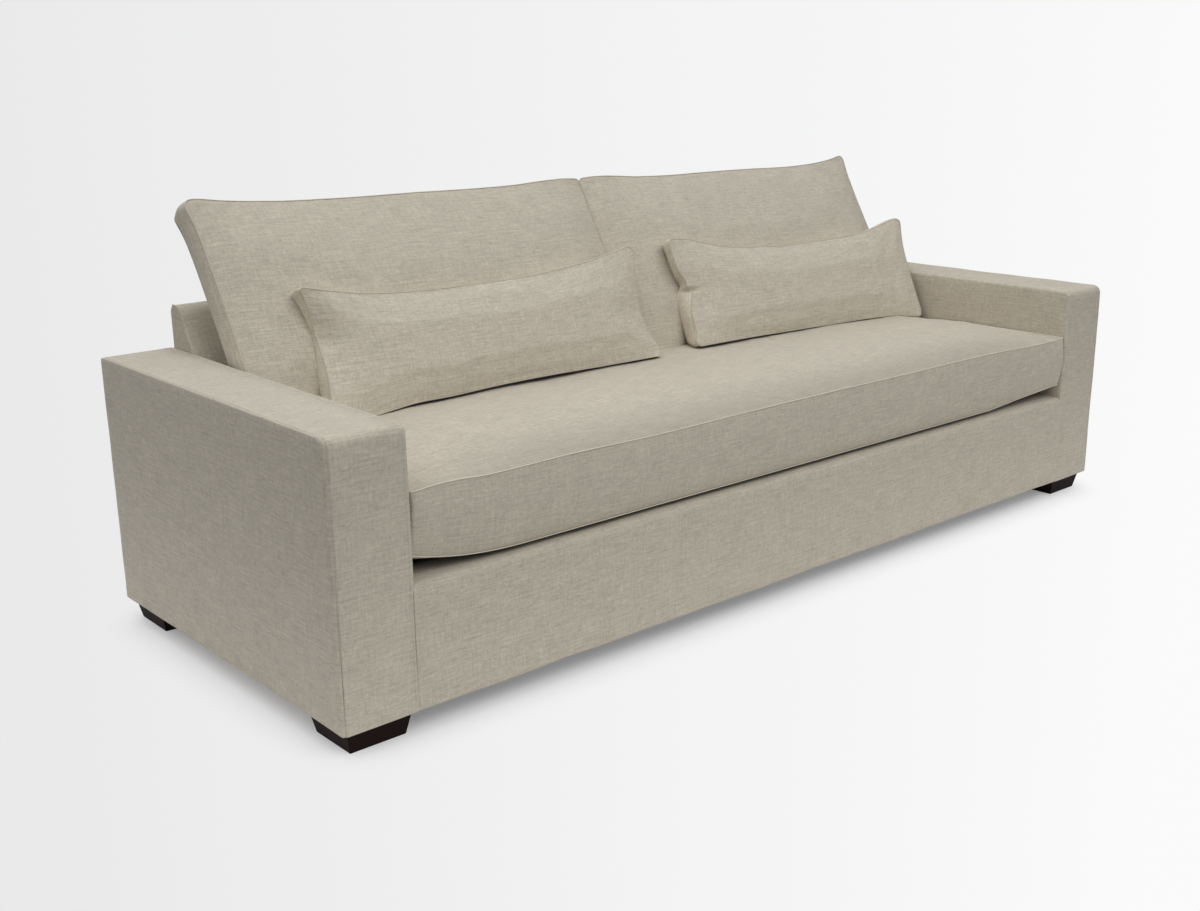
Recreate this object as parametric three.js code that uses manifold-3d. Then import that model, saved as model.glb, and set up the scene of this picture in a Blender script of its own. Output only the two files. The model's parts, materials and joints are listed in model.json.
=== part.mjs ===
// A three-seat sofa with square track arms, one bench seat cushion, two loose back cushions
// and two long lumbar pillows, on four tapered block feet.
// Millimetres, +X to the sitter's left, +Y to the back, +Z up.
// The origin is on the floor, under the middle of the sofa.

import * as THREE from "three";
import { RoundedBoxGeometry } from "three/addons/geometries/RoundedBoxGeometry.js";
import { mergeVertices } from "three/addons/utils/BufferGeometryUtils.js";
import Module from "manifold-3d";

const wasm = await Module();
wasm.setup();

// Overall
const overallLength = 2440; // over both arms
const overallDepth = 920; // from the arm fronts to the back
const armHeight = 586;
const armWidth = 162;
const backHeight = 679; // top of the upholstered back
const groundClearance = 46; // floor to the underside of the upholstery
const deckHeight = 290; // floor to the deck that carries the seat cushion
const gap = 0.3; // left between pieces that touch
const overrun = 20; // how far a cutting tool runs past what it cuts
const mergeDistance = 0.001; // vertices closer than this are one

// Covers
const coverThickness = 8; // linen with its wadding
const deckCloth = 5;
const edgeRadius = 14; // rounded edges of the arms and the back
const borderRadius = 18; // top front edge of the front border
const borderReturn = 120; // how far the front border runs back over the deck
const hemWidth = 30; // cover turned under the base
const hemThickness = 3;
const dustCloth = 1.5;
const cornerLimitShare = 2.2; // a corner stays outside the hollow up to this many cover thicknesses

// Timber
const boardThickness = 22; // arm boards
const railThickness = 25; // seat base and back uprights
const stretcherHeight = 60;
const cornerBlockLeg = 75;
const cornerBlockHeight = 70;
const topRailHeight = 45;

// Padding and suspension
const armPad = 20; // foam on the arm's top rail
const backPad = 20; // foam behind the inside back
const deckPad = 15; // felt over the springs
const deckPadSetback = 24; // keeps the felt out of the border's rounded edge
const strapThickness = 2;
const strapWidth = 50;
const standingStraps = 9;
const lyingStraps = 3;
const wire = 4.2; // spring wire, across its flats
const springs = 9;
const springTurns = 7;
const springWidth = 52; // across the bends of one spring
const springEndInset = 6; // from the wire's end to the far edge of its rail
const tieWires = 2;

// Back
const backTopDepth = 42; // thickness of the back at its top
const backRecline = THREE.MathUtils.degToRad(31);
const backDepth = 185; // from the upright part of the inside back to the rear face

// Feet and fasteners
const footTop = 151;
const footBottom = 117;
const footInset = 23; // from the arm's faces to the foot's sole
const boltRadius = 4;
const boltInFoot = 30;
const boltTipMargin = 3; // board left above the hanger bolt
const screwRadius = 3;
const screwHeadRadius = 6;
const screwHeadHeight = 4;
const screwLength = 70;
const screwInset = 120; // from the seat's front and back rails to the arm screws

// Seat cushion
const seatSideClearance = 2; // to each arm
const seatBackClearance = 3; // to the inside back
const seatSeamHeight = 169; // from the deck to the top front seam
const seatPlateau = 19; // from that seam up to where the back cushions rest
const seatCrown = 12; // rise of the crown above that, towards the front
const seatSeamSetback = 6; // top front seam, behind the arm fronts
const seatHemSetback = 26; // bottom front seam, behind the arm fronts
const seatFrontBulge = 9;
const seatSideDraw = 5;
const seatFrontLift = 11; // bottom front seam, above the deck
const seatCornerLift = 36; // more of it at the two front corners
const seatSideLift = 14; // bottom side seams, above the deck

// Back cushions
const backCushionHeight = 479; // up its slope, at the middle of its top edge
const backCushionEar = 26; // rise of its top corner above that, beside the arm
const backCushionInnerEar = 14; // the same beside the other cushion
const backCushionBand = 64; // thickness at its seams
const backCushionCrown = 46; // bulge of its front
const backCushionFill = 109; // bulge of its rear, which reaches the inside back
const backCushionDraw = 7;
const backCushionClearance = 6; // to the arm, and between the two
const bandBulge = 4; // boxing of the back cushions and pillows

// Lumbar pillows
const pillowSlack = 140; // width that each pillow leaves free in its half of the seat
const pillowArmGap = 19; // right pillow to its arm
const pillowPastMiddle = 6; // left pillow, beyond the middle of the seat
const pillowForward = 13; // its rear's lower edge, in front of the back cushions'
const pillowHeight = 232; // up its slope, at the middle of its top edge
const pillowEar = 48; // rise of its top corners above that
const pillowBand = 46; // thickness at its seams
const pillowCrown = 44; // bulge of its front
const pillowDraw = 20;
const pillowFoot = 10; // lower seam, below the line where the pillow rests
const pillowRecline = THREE.MathUtils.degToRad(23);

// Cushion covers
const cushionWall = 10; // linen with its wrap of wadding
const zipSlot = 11; // width of the slot that the zip closes
const zipLengthShare = 0.76; // of the cushion's width

// Where the main faces lie
const halfLength = overallLength / 2;
const frontY = -overallDepth / 2;
const backY = overallDepth / 2;
const innerHalf = halfLength - armWidth;
const backFaceY = backY - backDepth;
const boardBottom = groundClearance + hemThickness + gap;
const railTop = deckHeight - deckCloth - gap - deckPad - gap - wire - gap;
const frontRailY = frontY + coverThickness + gap + railThickness / 2;
const seatBackRailY = backFaceY + coverThickness - gap - railThickness / 2;
const rearRailY = backY - coverThickness - gap - railThickness / 2;
const endRailX = innerHalf - gap - railThickness / 2;
const footX = halfLength - footInset - footBottom / 2;
const footY = overallDepth / 2 - footInset - footBottom / 2;
const topRailBottom = backHeight - coverThickness - gap - topRailHeight;
const hollowHalf = innerHalf - gap - coverThickness; // half the hollow inside the back cover
const sides = [
  ["left", -1],
  ["right", 1],
];

// The plane of the raked inside back, moved back by some depth: its Y at one height.
const rakedY = (z, depth) =>
  backY - backTopDepth + depth / Math.cos(backRecline) - (backHeight - z) * Math.tan(backRecline);
// The height at which that plane reaches a given Y.
const rakedZ = (y, depth) => backHeight - (rakedY(backHeight, depth) - y) / Math.tan(backRecline);

// Finishes
const finish = (color, roughness, metalness = 0) =>
  new THREE.MeshStandardMaterial({ color, roughness, metalness });
const linen = finish(0xb6ae9e, 0.95);
const deckLinen = finish(0xa8a08f, 0.95);
const espresso = finish(0x241a17, 0.45);
const timber = finish(0xc4a26b, 0.8);
const plywood = finish(0xd0b183, 0.8);
const foam = finish(0xefe6c8, 0.95);
const felt = finish(0x8c8f93, 1);
const jute = finish(0xa98d5c, 0.9);
const steel = finish(0x8d9093, 0.4, 1);
const cambric = finish(0x1c1c1d, 0.95);
const zipTape = finish(0x9f978a, 0.8);

const sofa = new THREE.Group();

// Adds a named mesh to a group.
function piece(name, geometry, material, position = [0, 0, 0], parent = sofa) {
  const mesh = new THREE.Mesh(geometry, material);
  mesh.name = name;
  mesh.position.set(...position);
  parent.add(mesh);
  return mesh;
}

// A geometry as a solid for cutting and joining.
function solid(geometry) {
  const plain = geometry.clone();
  plain.deleteAttribute("normal");
  plain.deleteAttribute("uv");
  const welded = mergeVertices(plain, mergeDistance);
  return new wasm.Manifold(
    new wasm.Mesh({
      numProp: 3,
      vertProperties: new Float32Array(welded.attributes.position.array),
      triVerts: new Uint32Array(welded.index.array),
    })
  );
}

// A cut or joined solid as a geometry.
function surface(made) {
  const mesh = made.getMesh();
  const geometry = new THREE.BufferGeometry();
  geometry.setAttribute("position", new THREE.BufferAttribute(mesh.vertProperties, 3));
  geometry.setIndex(new THREE.BufferAttribute(mesh.triVerts, 1));
  geometry.computeVertexNormals();
  return geometry;
}

// One geometry with others cut out of it.
function cut(geometry, ...tools) {
  return surface(tools.reduce((left, tool) => left.subtract(solid(tool)), solid(geometry)));
}

// A box given by its lowest and highest corners.
function boxBetween(low, high) {
  const size = high.map((value, i) => value - low[i]);
  const middle = high.map((value, i) => (value + low[i]) / 2);
  return new THREE.BoxGeometry(...size).translate(...middle);
}

// An outline in the YZ plane, run along X between two places.
function alongX(outline, fromX, toX) {
  const shape = outline instanceof THREE.Shape ? outline : polygon(outline);
  const run = { depth: toX - fromX, bevelEnabled: false, curveSegments: 4 };
  const turn = new THREE.Matrix4().makeBasis(
    new THREE.Vector3(0, 1, 0),
    new THREE.Vector3(0, 0, 1),
    new THREE.Vector3(1, 0, 0)
  );
  return new THREE.ExtrudeGeometry(shape, run).applyMatrix4(turn).translate(fromX, 0, 0);
}

function polygon(points) {
  return new THREE.Shape(points.map(([x, y]) => new THREE.Vector2(x, y)));
}

// A closed outline with some of its corners rounded.
function roundedPolygon(points, radii) {
  const shape = new THREE.Shape();
  const at = (i) => new THREE.Vector2(...points[(i + points.length) % points.length]);
  points.forEach((_, i) => {
    const here = at(i);
    const radius = radii[i] ?? 0;
    const enter = here.clone().add(at(i - 1).sub(here).setLength(radius));
    const leave = here.clone().add(at(i + 1).sub(here).setLength(radius));
    if (i === 0) shape.moveTo(enter.x, enter.y);
    else shape.lineTo(enter.x, enter.y);
    if (radius > 0) shape.quadraticCurveTo(here.x, here.y, leave.x, leave.y);
  });
  return shape;
}

const cylinder = (radius, height, facets = 8) => new THREE.CylinderGeometry(radius, radius, height, facets);
const upright = (radius, height) => cylinder(radius, height).rotateX(Math.PI / 2);
const lying = (radius, length) => cylinder(radius, length).rotateZ(Math.PI / 2);

// Arms

// The hollow inside an arm's cover, around the arm's own middle.
const armHollow = {
  width: armWidth - 2 * coverThickness,
  depth: overallDepth - 2 * coverThickness,
  bottom: boardBottom - gap,
  top: armHeight - coverThickness,
};
const armBoard = { width: armHollow.width - 2 * gap, depth: armHollow.depth - 2 * gap };
const armRailTop = armHollow.top - gap - armPad - gap;
const screwZ = boardBottom + boardThickness / 2;
const screwReach = railThickness / 2 + screwInset;
const screwYs = [frontRailY + screwReach, seatBackRailY - screwReach];

function armCover(side) {
  const radius = Math.min(edgeRadius, coverThickness * cornerLimitShare);
  const height = armHeight - groundClearance;
  const shell = new RoundedBoxGeometry(armWidth, overallDepth, height, 2, radius);
  shell.translate(0, 0, groundClearance + height / 2);
  const { width, depth, bottom, top } = armHollow;
  const hollow = boxBetween([-width / 2, -depth / 2, bottom], [width / 2, depth / 2, top]);
  const mouth = boxBetween(
    [hemWidth - armWidth / 2, hemWidth - overallDepth / 2, groundClearance - overrun],
    [armWidth / 2 - hemWidth, overallDepth / 2 - hemWidth, bottom + gap]
  );
  const screwHoles = screwYs.map((y) =>
    lying(screwRadius + gap, 2 * coverThickness + overrun).translate((-side * armWidth) / 2, y, screwZ)
  );
  return cut(shell, hollow, mouth, ...screwHoles);
}

function armBaseBoard(side) {
  const { width, depth } = armBoard;
  const board = new THREE.BoxGeometry(width, depth, boardThickness);
  const boltX = side * (footX - (halfLength - armWidth / 2));
  const boltHoles = [-footY, footY].map((y) =>
    upright(boltRadius + gap, boardThickness + overrun).translate(boltX, y, 0)
  );
  const screwHoles = screwYs.map((y) => {
    const reach = screwLength - railThickness;
    return lying(screwRadius + gap, 2 * reach).translate((-side * armWidth) / 2, y, 0);
  });
  return cut(board, ...boltHoles, ...screwHoles);
}

function buildArm([name, side]) {
  const arm = new THREE.Group();
  arm.position.x = side * (halfLength - armWidth / 2);
  sofa.add(arm);
  const { width, depth } = armBoard;
  const postBottom = boardBottom + boardThickness + gap;
  const postTop = armRailTop - boardThickness - gap;
  const post = new THREE.BoxGeometry(width, boardThickness, postTop - postBottom);
  const postY = depth / 2 - boardThickness / 2;
  const postZ = (postBottom + postTop) / 2;
  const topBoard = new THREE.BoxGeometry(width, depth, boardThickness);
  const pad = new THREE.BoxGeometry(width, depth, armPad);
  const put = (part, geometry, material, position) =>
    piece(`arm_${name}_${part}`, geometry, material, position, arm);
  put("cover", armCover(side), linen, [0, 0, 0]);
  put("base_board", armBaseBoard(side), plywood, [0, 0, boardBottom + boardThickness / 2]);
  put("front_post", post, timber, [0, -postY, postZ]);
  put("back_post", post, timber, [0, postY, postZ]);
  put("top_rail", topBoard, plywood, [0, 0, armRailTop - boardThickness / 2]);
  put("top_pad", pad, foam, [0, 0, armRailTop + gap + armPad / 2]);
}

// Feet and fasteners

function foot() {
  const height = groundClearance - gap;
  const half = Math.SQRT1_2; // from a square's side to its corner
  const block = new THREE.CylinderGeometry(footTop * half, footBottom * half, height, 4);
  block.rotateY(Math.PI / 4).rotateX(Math.PI / 2).translate(0, 0, height / 2);
  const depth = boltInFoot + gap;
  const hole = upright(boltRadius + gap, depth + overrun).translate(0, 0, height + (overrun - depth) / 2);
  return cut(block, hole);
}

function buildFeet() {
  const boltBottom = groundClearance - gap - boltInFoot;
  const boltTop = boardBottom + boardThickness - boltTipMargin;
  for (const [name, side] of sides) {
    for (const [end, way] of [["front", -1], ["back", 1]]) {
      const place = [side * footX, way * footY];
      piece(`foot_${end}_${name}`, foot(), espresso, [...place, 0]);
      const bolt = upright(boltRadius, boltTop - boltBottom);
      piece(`hanger_bolt_${end}_${name}`, bolt, steel, [...place, (boltTop + boltBottom) / 2]);
    }
  }
}

// A round-headed screw along X, its head on the inside of the end rail.
function armScrew(side) {
  const headFace = endRailX - railThickness / 2 - gap;
  const profile = [
    [0, 0],
    [screwHeadRadius, 0],
    [screwHeadRadius, screwHeadHeight],
    [screwRadius, screwHeadHeight],
    [screwRadius, screwHeadHeight + screwLength - gap],
    [0, screwHeadHeight + screwLength - gap],
  ].map(([x, y]) => new THREE.Vector2(x, y));
  const screw = new THREE.LatheGeometry(profile, 8).rotateZ((-side * Math.PI) / 2);
  return screw.translate(side * (headFace - screwHeadHeight), 0, 0);
}

function buildArmScrews() {
  for (const [name, side] of sides) {
    screwYs.forEach((y, i) => {
      piece(`arm_screw_${i ? "back" : "front"}_${name}`, armScrew(side), steel, [0, y, screwZ]);
    });
  }
}

// Seat base

function rail(length, height) {
  return new THREE.BoxGeometry(length, railThickness, height);
}

function endRail([name, side]) {
  const length = rearRailY - frontRailY - railThickness - 2 * gap;
  const height = railTop - boardBottom;
  const middle = (rearRailY + frontRailY) / 2;
  const z = boardBottom + height / 2;
  const board = new THREE.BoxGeometry(railThickness, length, height);
  const holes = screwYs.map((y) =>
    lying(screwRadius + gap, railThickness + overrun).translate(0, y - middle, screwZ - z)
  );
  piece(`end_rail_${name}`, cut(board, ...holes), timber, [side * endRailX, middle, z]);
}

// A triangular block whose square corner is at the origin.
function cornerBlock(way) {
  const corner = polygon([[0, 0], [way * cornerBlockLeg, 0], [0, cornerBlockLeg]]);
  return new THREE.ExtrudeGeometry(corner, { depth: cornerBlockHeight, bevelEnabled: false });
}

function buildSeatBase() {
  const height = railTop - boardBottom;
  const z = boardBottom + height / 2;
  const endFace = endRailX - railThickness / 2 - gap;
  piece("front_rail", rail(2 * (innerHalf - gap), height), timber, [0, frontRailY, z]);
  piece("seat_back_rail", rail(2 * endFace, height), timber, [0, seatBackRailY, z]);
  piece("rear_rail", rail(2 * (hollowHalf - gap), height), timber, [0, rearRailY, z]);
  sides.forEach(endRail);
  const front = frontRailY + railThickness / 2 + gap;
  const back = seatBackRailY - railThickness / 2 - gap;
  const stretcher = new THREE.BoxGeometry(railThickness, back - front, stretcherHeight);
  piece("centre_stretcher", stretcher, timber, [0, (front + back) / 2, boardBottom + stretcherHeight / 2]);
  for (const [name, side] of sides) {
    piece(`corner_block_${name}`, cornerBlock(-side), timber, [side * endFace, front, boardBottom]);
  }
}

// Suspension and deck

// The middle line of one sinuous spring: it swings from side to side as it runs back.
function springLine(length) {
  const points = [[0, 0]];
  const step = length / (2 * springTurns);
  for (let i = 1; i < 2 * springTurns; i++) {
    const side = i % 4 < 2 ? 1 : -1;
    const near = (i % 2 ? i - 0.5 : i) * step;
    points.push([(side * springWidth) / 2, near]);
  }
  points.push([0, length]);
  return points;
}

// A flat ribbon of square wire along a line of points.
function wirePath(points) {
  const left = [];
  const right = [];
  points.forEach((point, i) => {
    const here = new THREE.Vector2(...point);
    const before = new THREE.Vector2(...points[Math.max(i - 1, 0)]);
    const after = new THREE.Vector2(...points[Math.min(i + 1, points.length - 1)]);
    const arrive = (i ? here.clone().sub(before) : after.clone().sub(here)).normalize();
    const depart = (i < points.length - 1 ? after.clone().sub(here) : arrive.clone()).normalize();
    const across = new THREE.Vector2(-arrive.y - depart.y, arrive.x + depart.x).normalize();
    const spread = wire / 2 / Math.max(across.dot(new THREE.Vector2(-arrive.y, arrive.x)), 0.2);
    left.push(here.clone().addScaledVector(across, spread));
    right.push(here.clone().addScaledVector(across, -spread));
  });
  const outline = new THREE.Shape([...left, ...right.reverse()]);
  return new THREE.ExtrudeGeometry(outline, { depth: wire, bevelEnabled: false });
}

function springUnit() {
  const front = frontRailY - railThickness / 2 + springEndInset;
  const back = seatBackRailY + railThickness / 2 - springEndInset;
  const span = 2 * (innerHalf - gap - springWidth);
  const xs = Array.from({ length: springs }, (_, i) => span * ((i + 0.5) / springs - 0.5));
  const bars = [front, back, ...Array.from({ length: tieWires }, (_, i) => {
    return front + ((back - front) * (i + 1)) / (tieWires + 1);
  })];
  let unit = null;
  for (const y of bars) {
    const bar = boxBetween([-span / 2, y - wire / 2, 0], [span / 2, y + wire / 2, wire]);
    unit = unit ? unit.add(solid(bar)) : solid(bar);
  }
  for (const x of xs) {
    unit = unit.add(solid(wirePath(springLine(back - front)).translate(x, front, 0)));
  }
  return surface(unit);
}

function buildDeck() {
  piece("seat_spring_unit", springUnit(), steel, [0, 0, railTop + gap]);
  const back = backFaceY + coverThickness - gap;
  const padTop = deckHeight - deckCloth - gap;
  const padHalf = innerHalf - gap;
  const pad = boxBetween([-padHalf, frontY + deckPadSetback, padTop - deckPad], [padHalf, back, padTop]);
  piece("deck_pad", pad, felt);
  const clothFront = frontY + borderReturn + gap;
  const cloth = boxBetween([-padHalf, clothFront, deckHeight - deckCloth], [padHalf, back, deckHeight]);
  piece("deck_cover", cloth, deckLinen);
}

function frontBorder() {
  const t = coverThickness;
  const top = deckHeight;
  const low = groundClearance;
  const outline = roundedPolygon(
    [
      [frontY, low],
      [frontY + hemWidth, low],
      [frontY + hemWidth, low + hemThickness],
      [frontY + t, low + hemThickness],
      [frontY + t, top - deckCloth],
      [frontY + borderReturn, top - deckCloth],
      [frontY + borderReturn, top],
      [frontY, top],
    ],
    { 4: Math.max(borderRadius - t, 0), 7: borderRadius }
  );
  return alongX(outline, gap - innerHalf, innerHalf - gap);
}

function dustCover() {
  const half = innerHalf - gap;
  const top = boardBottom - gap;
  const inset = hemWidth + gap;
  return boxBetween([-half, frontY + inset, top - dustCloth], [half, backY - inset, top]);
}

// Back

function backCover() {
  const t = coverThickness;
  const wallFront = backY - t;
  const deck = deckHeight + gap;
  const outer = roundedPolygon(
    [
      [backY, groundClearance],
      [backY, backHeight],
      [rakedY(backHeight, 0), backHeight],
      [backFaceY, rakedZ(backFaceY, 0)],
      [backFaceY, deck],
      [wallFront, deck],
      [wallFront, boardBottom - gap],
      [backY - hemWidth, boardBottom - gap],
      [backY - hemWidth, groundClearance],
    ],
    { 1: edgeRadius, 2: edgeRadius }
  );
  const inner = [
    [wallFront, deck - overrun],
    [wallFront, backHeight - t],
    [rakedY(backHeight - t, t), backHeight - t],
    [backFaceY + t, rakedZ(backFaceY + t, t)],
    [backFaceY + t, deck - overrun],
  ];
  const half = innerHalf - gap;
  return cut(alongX(outer, -half, half), alongX(inner, -hollowHalf, hollowHalf));
}

const padFront = coverThickness + gap;
const padBack = padFront + backPad;
const strapFront = padBack + gap;
const strapBack = strapFront + strapThickness;
const uprightFace = strapBack + gap;

function uprightOutline() {
  const face = backFaceY + coverThickness + gap;
  const rear = backY - coverThickness - gap;
  const rearLow = rear - railThickness - gap;
  const top = topRailBottom - gap;
  return [
    [face, boardBottom],
    [rearLow, boardBottom],
    [rearLow, railTop + gap],
    [rear, railTop + gap],
    [rear, top],
    [rakedY(top, uprightFace), top],
    [face, rakedZ(face, uprightFace)],
  ];
}

function topRailOutline() {
  const rear = backY - coverThickness - gap;
  const top = topRailBottom + topRailHeight;
  return [
    [rear, topRailBottom],
    [rear, top],
    [rakedY(top, padFront), top],
    [rakedY(topRailBottom, padFront), topRailBottom],
  ];
}

// A slab that lies along the raked inside back, between two depths behind it.
function rakedSlab(near, far) {
  const top = topRailBottom - gap;
  const bottom = rakedZ(backFaceY + coverThickness + gap, padFront);
  const foot = rakedZ(backFaceY + coverThickness + gap, near);
  return [
    [rakedY(top, near), top],
    [rakedY(top, far), top],
    [rakedY(bottom, far), bottom],
    [Math.max(rakedY(bottom, near), backFaceY + coverThickness + gap), Math.max(bottom, foot)],
  ];
}

// Straps crossed into one lattice, lying along the raked back.
function webbing() {
  const slab = alongX(rakedSlab(strapFront, strapBack), gap - hollowHalf, hollowHalf - gap);
  const top = topRailBottom - gap;
  const bottom = rakedZ(backFaceY + coverThickness + gap, padFront);
  const half = hollowHalf - gap;
  const columnPitch = (2 * half - strapWidth) / (standingStraps - 1);
  const rowWidth = strapWidth * Math.cos(backRecline);
  const rowPitch = (top - bottom - rowWidth) / (lyingStraps - 1);
  const windows = [];
  for (let column = 0; column < standingStraps - 1; column++) {
    for (let row = 0; row < lyingStraps - 1; row++) {
      const x = -half + strapWidth + column * columnPitch;
      const z = bottom + rowWidth + row * rowPitch;
      const low = [x, backFaceY - overrun, z];
      const high = [x + columnPitch - strapWidth, backY, z + rowPitch - rowWidth];
      windows.push(boxBetween(low, high));
    }
  }
  return cut(slab, ...windows);
}

function buildBack() {
  piece("back_cover", backCover(), linen);
  const half = hollowHalf - gap;
  piece("back_top_rail", alongX(topRailOutline(), -half, half), timber);
  piece("back_pad", alongX(rakedSlab(padFront, padBack), -half, half), foam);
  piece("back_webbing", webbing(), jute);
  const outerX = endRailX - railThickness / 2 - gap - railThickness / 2;
  for (const [name, x] of [["left", -outerX], ["centre", 0], ["right", outerX]]) {
    const board = alongX(uprightOutline(), -railThickness / 2, railThickness / 2);
    piece(`back_upright_${name}`, board, plywood, [x, 0, 0]);
  }
}

// Cushions

// Places from -1 to 1, closer together near the ends.
const spread = (count) =>
  Array.from({ length: count + 1 }, (_, i) => Math.sin(Math.PI * (i / count - 0.5)));

// A closed cushion: a front and a rear panel joined by a boxing band.
// place(s, t, w) gives the point at s across and t up, both from -1 to 1, on the front for w = 1,
// on the rear for w = -1, and on the band between them.
function cushionForm(across, up, bandRows, place) {
  const s = spread(across);
  const t = spread(up);
  const positions = [];
  const index = [];
  const add = (u, v, w) => positions.push(...place(u, v, w)) / 3 - 1;
  const panel = (w) => t.map((v) => s.map((u) => add(u, v, w)));
  const front = panel(1);
  const rear = panel(-1);
  for (let j = 0; j < up; j++) {
    for (let i = 0; i < across; i++) {
      const corners = (grid) => [grid[j][i], grid[j][i + 1], grid[j + 1][i + 1], grid[j + 1][i]];
      const [a, b, c, d] = corners(front);
      index.push(a, b, c, a, c, d);
      const [e, f, g, h] = corners(rear);
      index.push(e, g, f, e, h, g);
    }
  }
  const edge = [];
  for (let i = 0; i < across; i++) edge.push([0, i]);
  for (let j = 0; j < up; j++) edge.push([j, across]);
  for (let i = across; i > 0; i--) edge.push([up, i]);
  for (let j = up; j > 0; j--) edge.push([j, 0]);
  const rings = [edge.map(([j, i]) => front[j][i])];
  for (let r = 1; r <= bandRows; r++) {
    const w = Math.cos((Math.PI * r) / (bandRows + 1));
    rings.push(edge.map(([j, i]) => add(s[i], t[j], w)));
  }
  rings.push(edge.map(([j, i]) => rear[j][i]));
  for (let r = 0; r + 1 < rings.length; r++) {
    edge.forEach((_, k) => {
      const next = (k + 1) % edge.length;
      const [a, b] = [rings[r][k], rings[r][next]];
      const [c, d] = [rings[r + 1][k], rings[r + 1][next]];
      index.push(a, c, d, a, d, b);
    });
  }
  const geometry = new THREE.BufferGeometry();
  geometry.setAttribute("position", new THREE.Float32BufferAttribute(positions, 3));
  geometry.setIndex(index);
  geometry.computeVertexNormals();
  return geometry;
}

// How far a panel's swell has risen: 0 at the seam, 1 in the middle, squarer for a higher power.
const swell = (value, power) => 1 - Math.abs(value) ** power;

// The line where the back cushions' fronts rest on the seat.
const restZ = deckHeight + gap + seatSeamHeight + seatPlateau + gap;
const backCushionDepth = backCushionBand + backCushionFill + 2 * gap;
const restY = rakedY(restZ, 0) - backCushionDepth / Math.cos(backRecline);
const pillowY = restY - pillowForward;
const crownDepth = pillowY - pillowBand - pillowCrown - frontY; // the crown ends in front of the pillows

// The seat cushion around its own middle, its underside at zero. The front panel is its top.
function seatPoint(inset) {
  const half = innerHalf - seatSideClearance - inset;
  const front = frontY + inset;
  const back = backFaceY - seatBackClearance - inset;
  return (s, t, w) => {
    const depth = (t + 1) / 2;
    const x = s * (half - seatSideDraw * swell(t, 2));
    const crowned = Math.min((depth * (back - front)) / crownDepth, 1);
    const hump = seatCrown * Math.sin(Math.PI * crowned);
    const rise = seatPlateau * (1 - (1 - depth) ** 4) + hump;
    const top = seatSeamHeight + rise * swell(s, 6) - inset;
    const lip = (1 - depth) ** 12;
    const corner = Math.abs(s) ** 14;
    const sideLift = corner * (seatCornerLift * lip + seatSideLift * (1 - lip));
    const bottom = seatFrontLift * lip + sideLift + inset;
    const lean = (1 - w) / 2;
    const raked = (seatHemSetback - seatSeamSetback) * lean;
    const setback = seatSeamSetback + raked - seatFrontBulge * (1 - w * w);
    const y = front + setback + (back - front - setback) * depth;
    return [x, y, bottom + ((top - bottom) * (w + 1)) / 2];
  };
}

// A back cushion in its leaning frame: x across, y up the slope, z out of its front.
// Its base is level, so it sits flat on the seat, and its front stays behind the pillows' rears.
const backCushionWidth = innerHalf - backCushionClearance - backCushionClearance / 2;
const pillowLean = backRecline - pillowRecline;
const pillowStart = (pillowForward * Math.cos(pillowRecline)) / Math.cos(pillowLean);

function backCushionPoint(inset, armSide) {
  const half = backCushionWidth / 2;
  const level = Math.tan(backRecline);
  return (s, t, w) => {
    const up = (t + 1) / 2;
    const ear = s * armSide > 0 ? backCushionEar : backCushionInnerEar;
    const top = backCushionHeight + ear * Math.abs(s) ** 3;
    const swollen = backCushionCrown * swell(s, 4) * swell(t, 3);
    const pinch = Math.tan(pillowLean);
    const leaned = (up * top * pinch + pillowStart - 2 * gap) / (1 + level * pinch * (1 - up));
    const front = Math.min(swollen, leaned) - inset;
    const rear = -backCushionBand - backCushionFill * swell(s, 4) * (1 - up ** 5) + inset;
    const z = rear + ((front - rear) * (w + 1)) / 2;
    const bulge = bandBulge * (1 - w * w);
    const base = -z * level + inset;
    const x = s * (half - backCushionDraw * swell(t, 2) + bulge - bandBulge - inset);
    return [x, base + (top + bulge * up - inset - base) * up, z];
  };
}

// A lumbar pillow in its leaning frame: x across, y up, z out of its front, from its flat rear.
const pillowWidth = innerHalf - pillowSlack;
const leftPillowX = pillowPastMiddle - pillowWidth / 2;
const rightPillowX = innerHalf - pillowArmGap - pillowWidth / 2;

function pillowPoint(inset) {
  const half = pillowWidth / 2;
  const level = Math.tan(pillowRecline);
  return (s, t, w) => {
    const up = (t + 1) / 2;
    const front = pillowBand + pillowCrown * swell(s, 4) * swell(t, 2.4) - inset;
    const z = inset + ((front - inset) * (w + 1)) / 2;
    const bulge = bandBulge * (1 - w * w);
    const base = -Math.min(z * level, pillowFoot) + inset;
    const top = pillowHeight - pillowFoot + pillowEar * s * s + bulge - inset;
    const x = s * (half - pillowDraw * swell(t, 2) + bulge - inset);
    return [x, base + (top - base) * up, z];
  };
}

// A cushion's cover with its hollow, the core inside it and the zip in its slot.
function buildCushion(name, group, shape) {
  const { point, across, up, slot } = shape;
  const outer = solid(cushionForm(across, up, 2, point(0)));
  const hollow = solid(cushionForm(10, 6, 1, point(cushionWall)));
  const core = cushionForm(10, 6, 1, point(cushionWall + 2 * gap));
  const wall = outer.subtract(hollow);
  const [low, high] = slot;
  const tight = [low.map((value) => value + gap), high.map((value) => value - gap)];
  const zip = wall.intersect(solid(boxBetween(...tight)));
  piece(`${name}_cover`, surface(wall.subtract(solid(boxBetween(low, high)))), linen, [0, 0, 0], group);
  piece(`${name}_core`, core, foam, [0, 0, 0], group);
  piece(`${name}_zip`, surface(zip), zipTape, [0, 0, 0], group);
}

// A group that stands on the seat and leans back.
function leaningGroup(x, y, recline) {
  const group = new THREE.Group();
  group.position.set(x, y, restZ);
  group.rotation.x = Math.PI / 2 - recline;
  sofa.add(group);
  return group;
}

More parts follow.
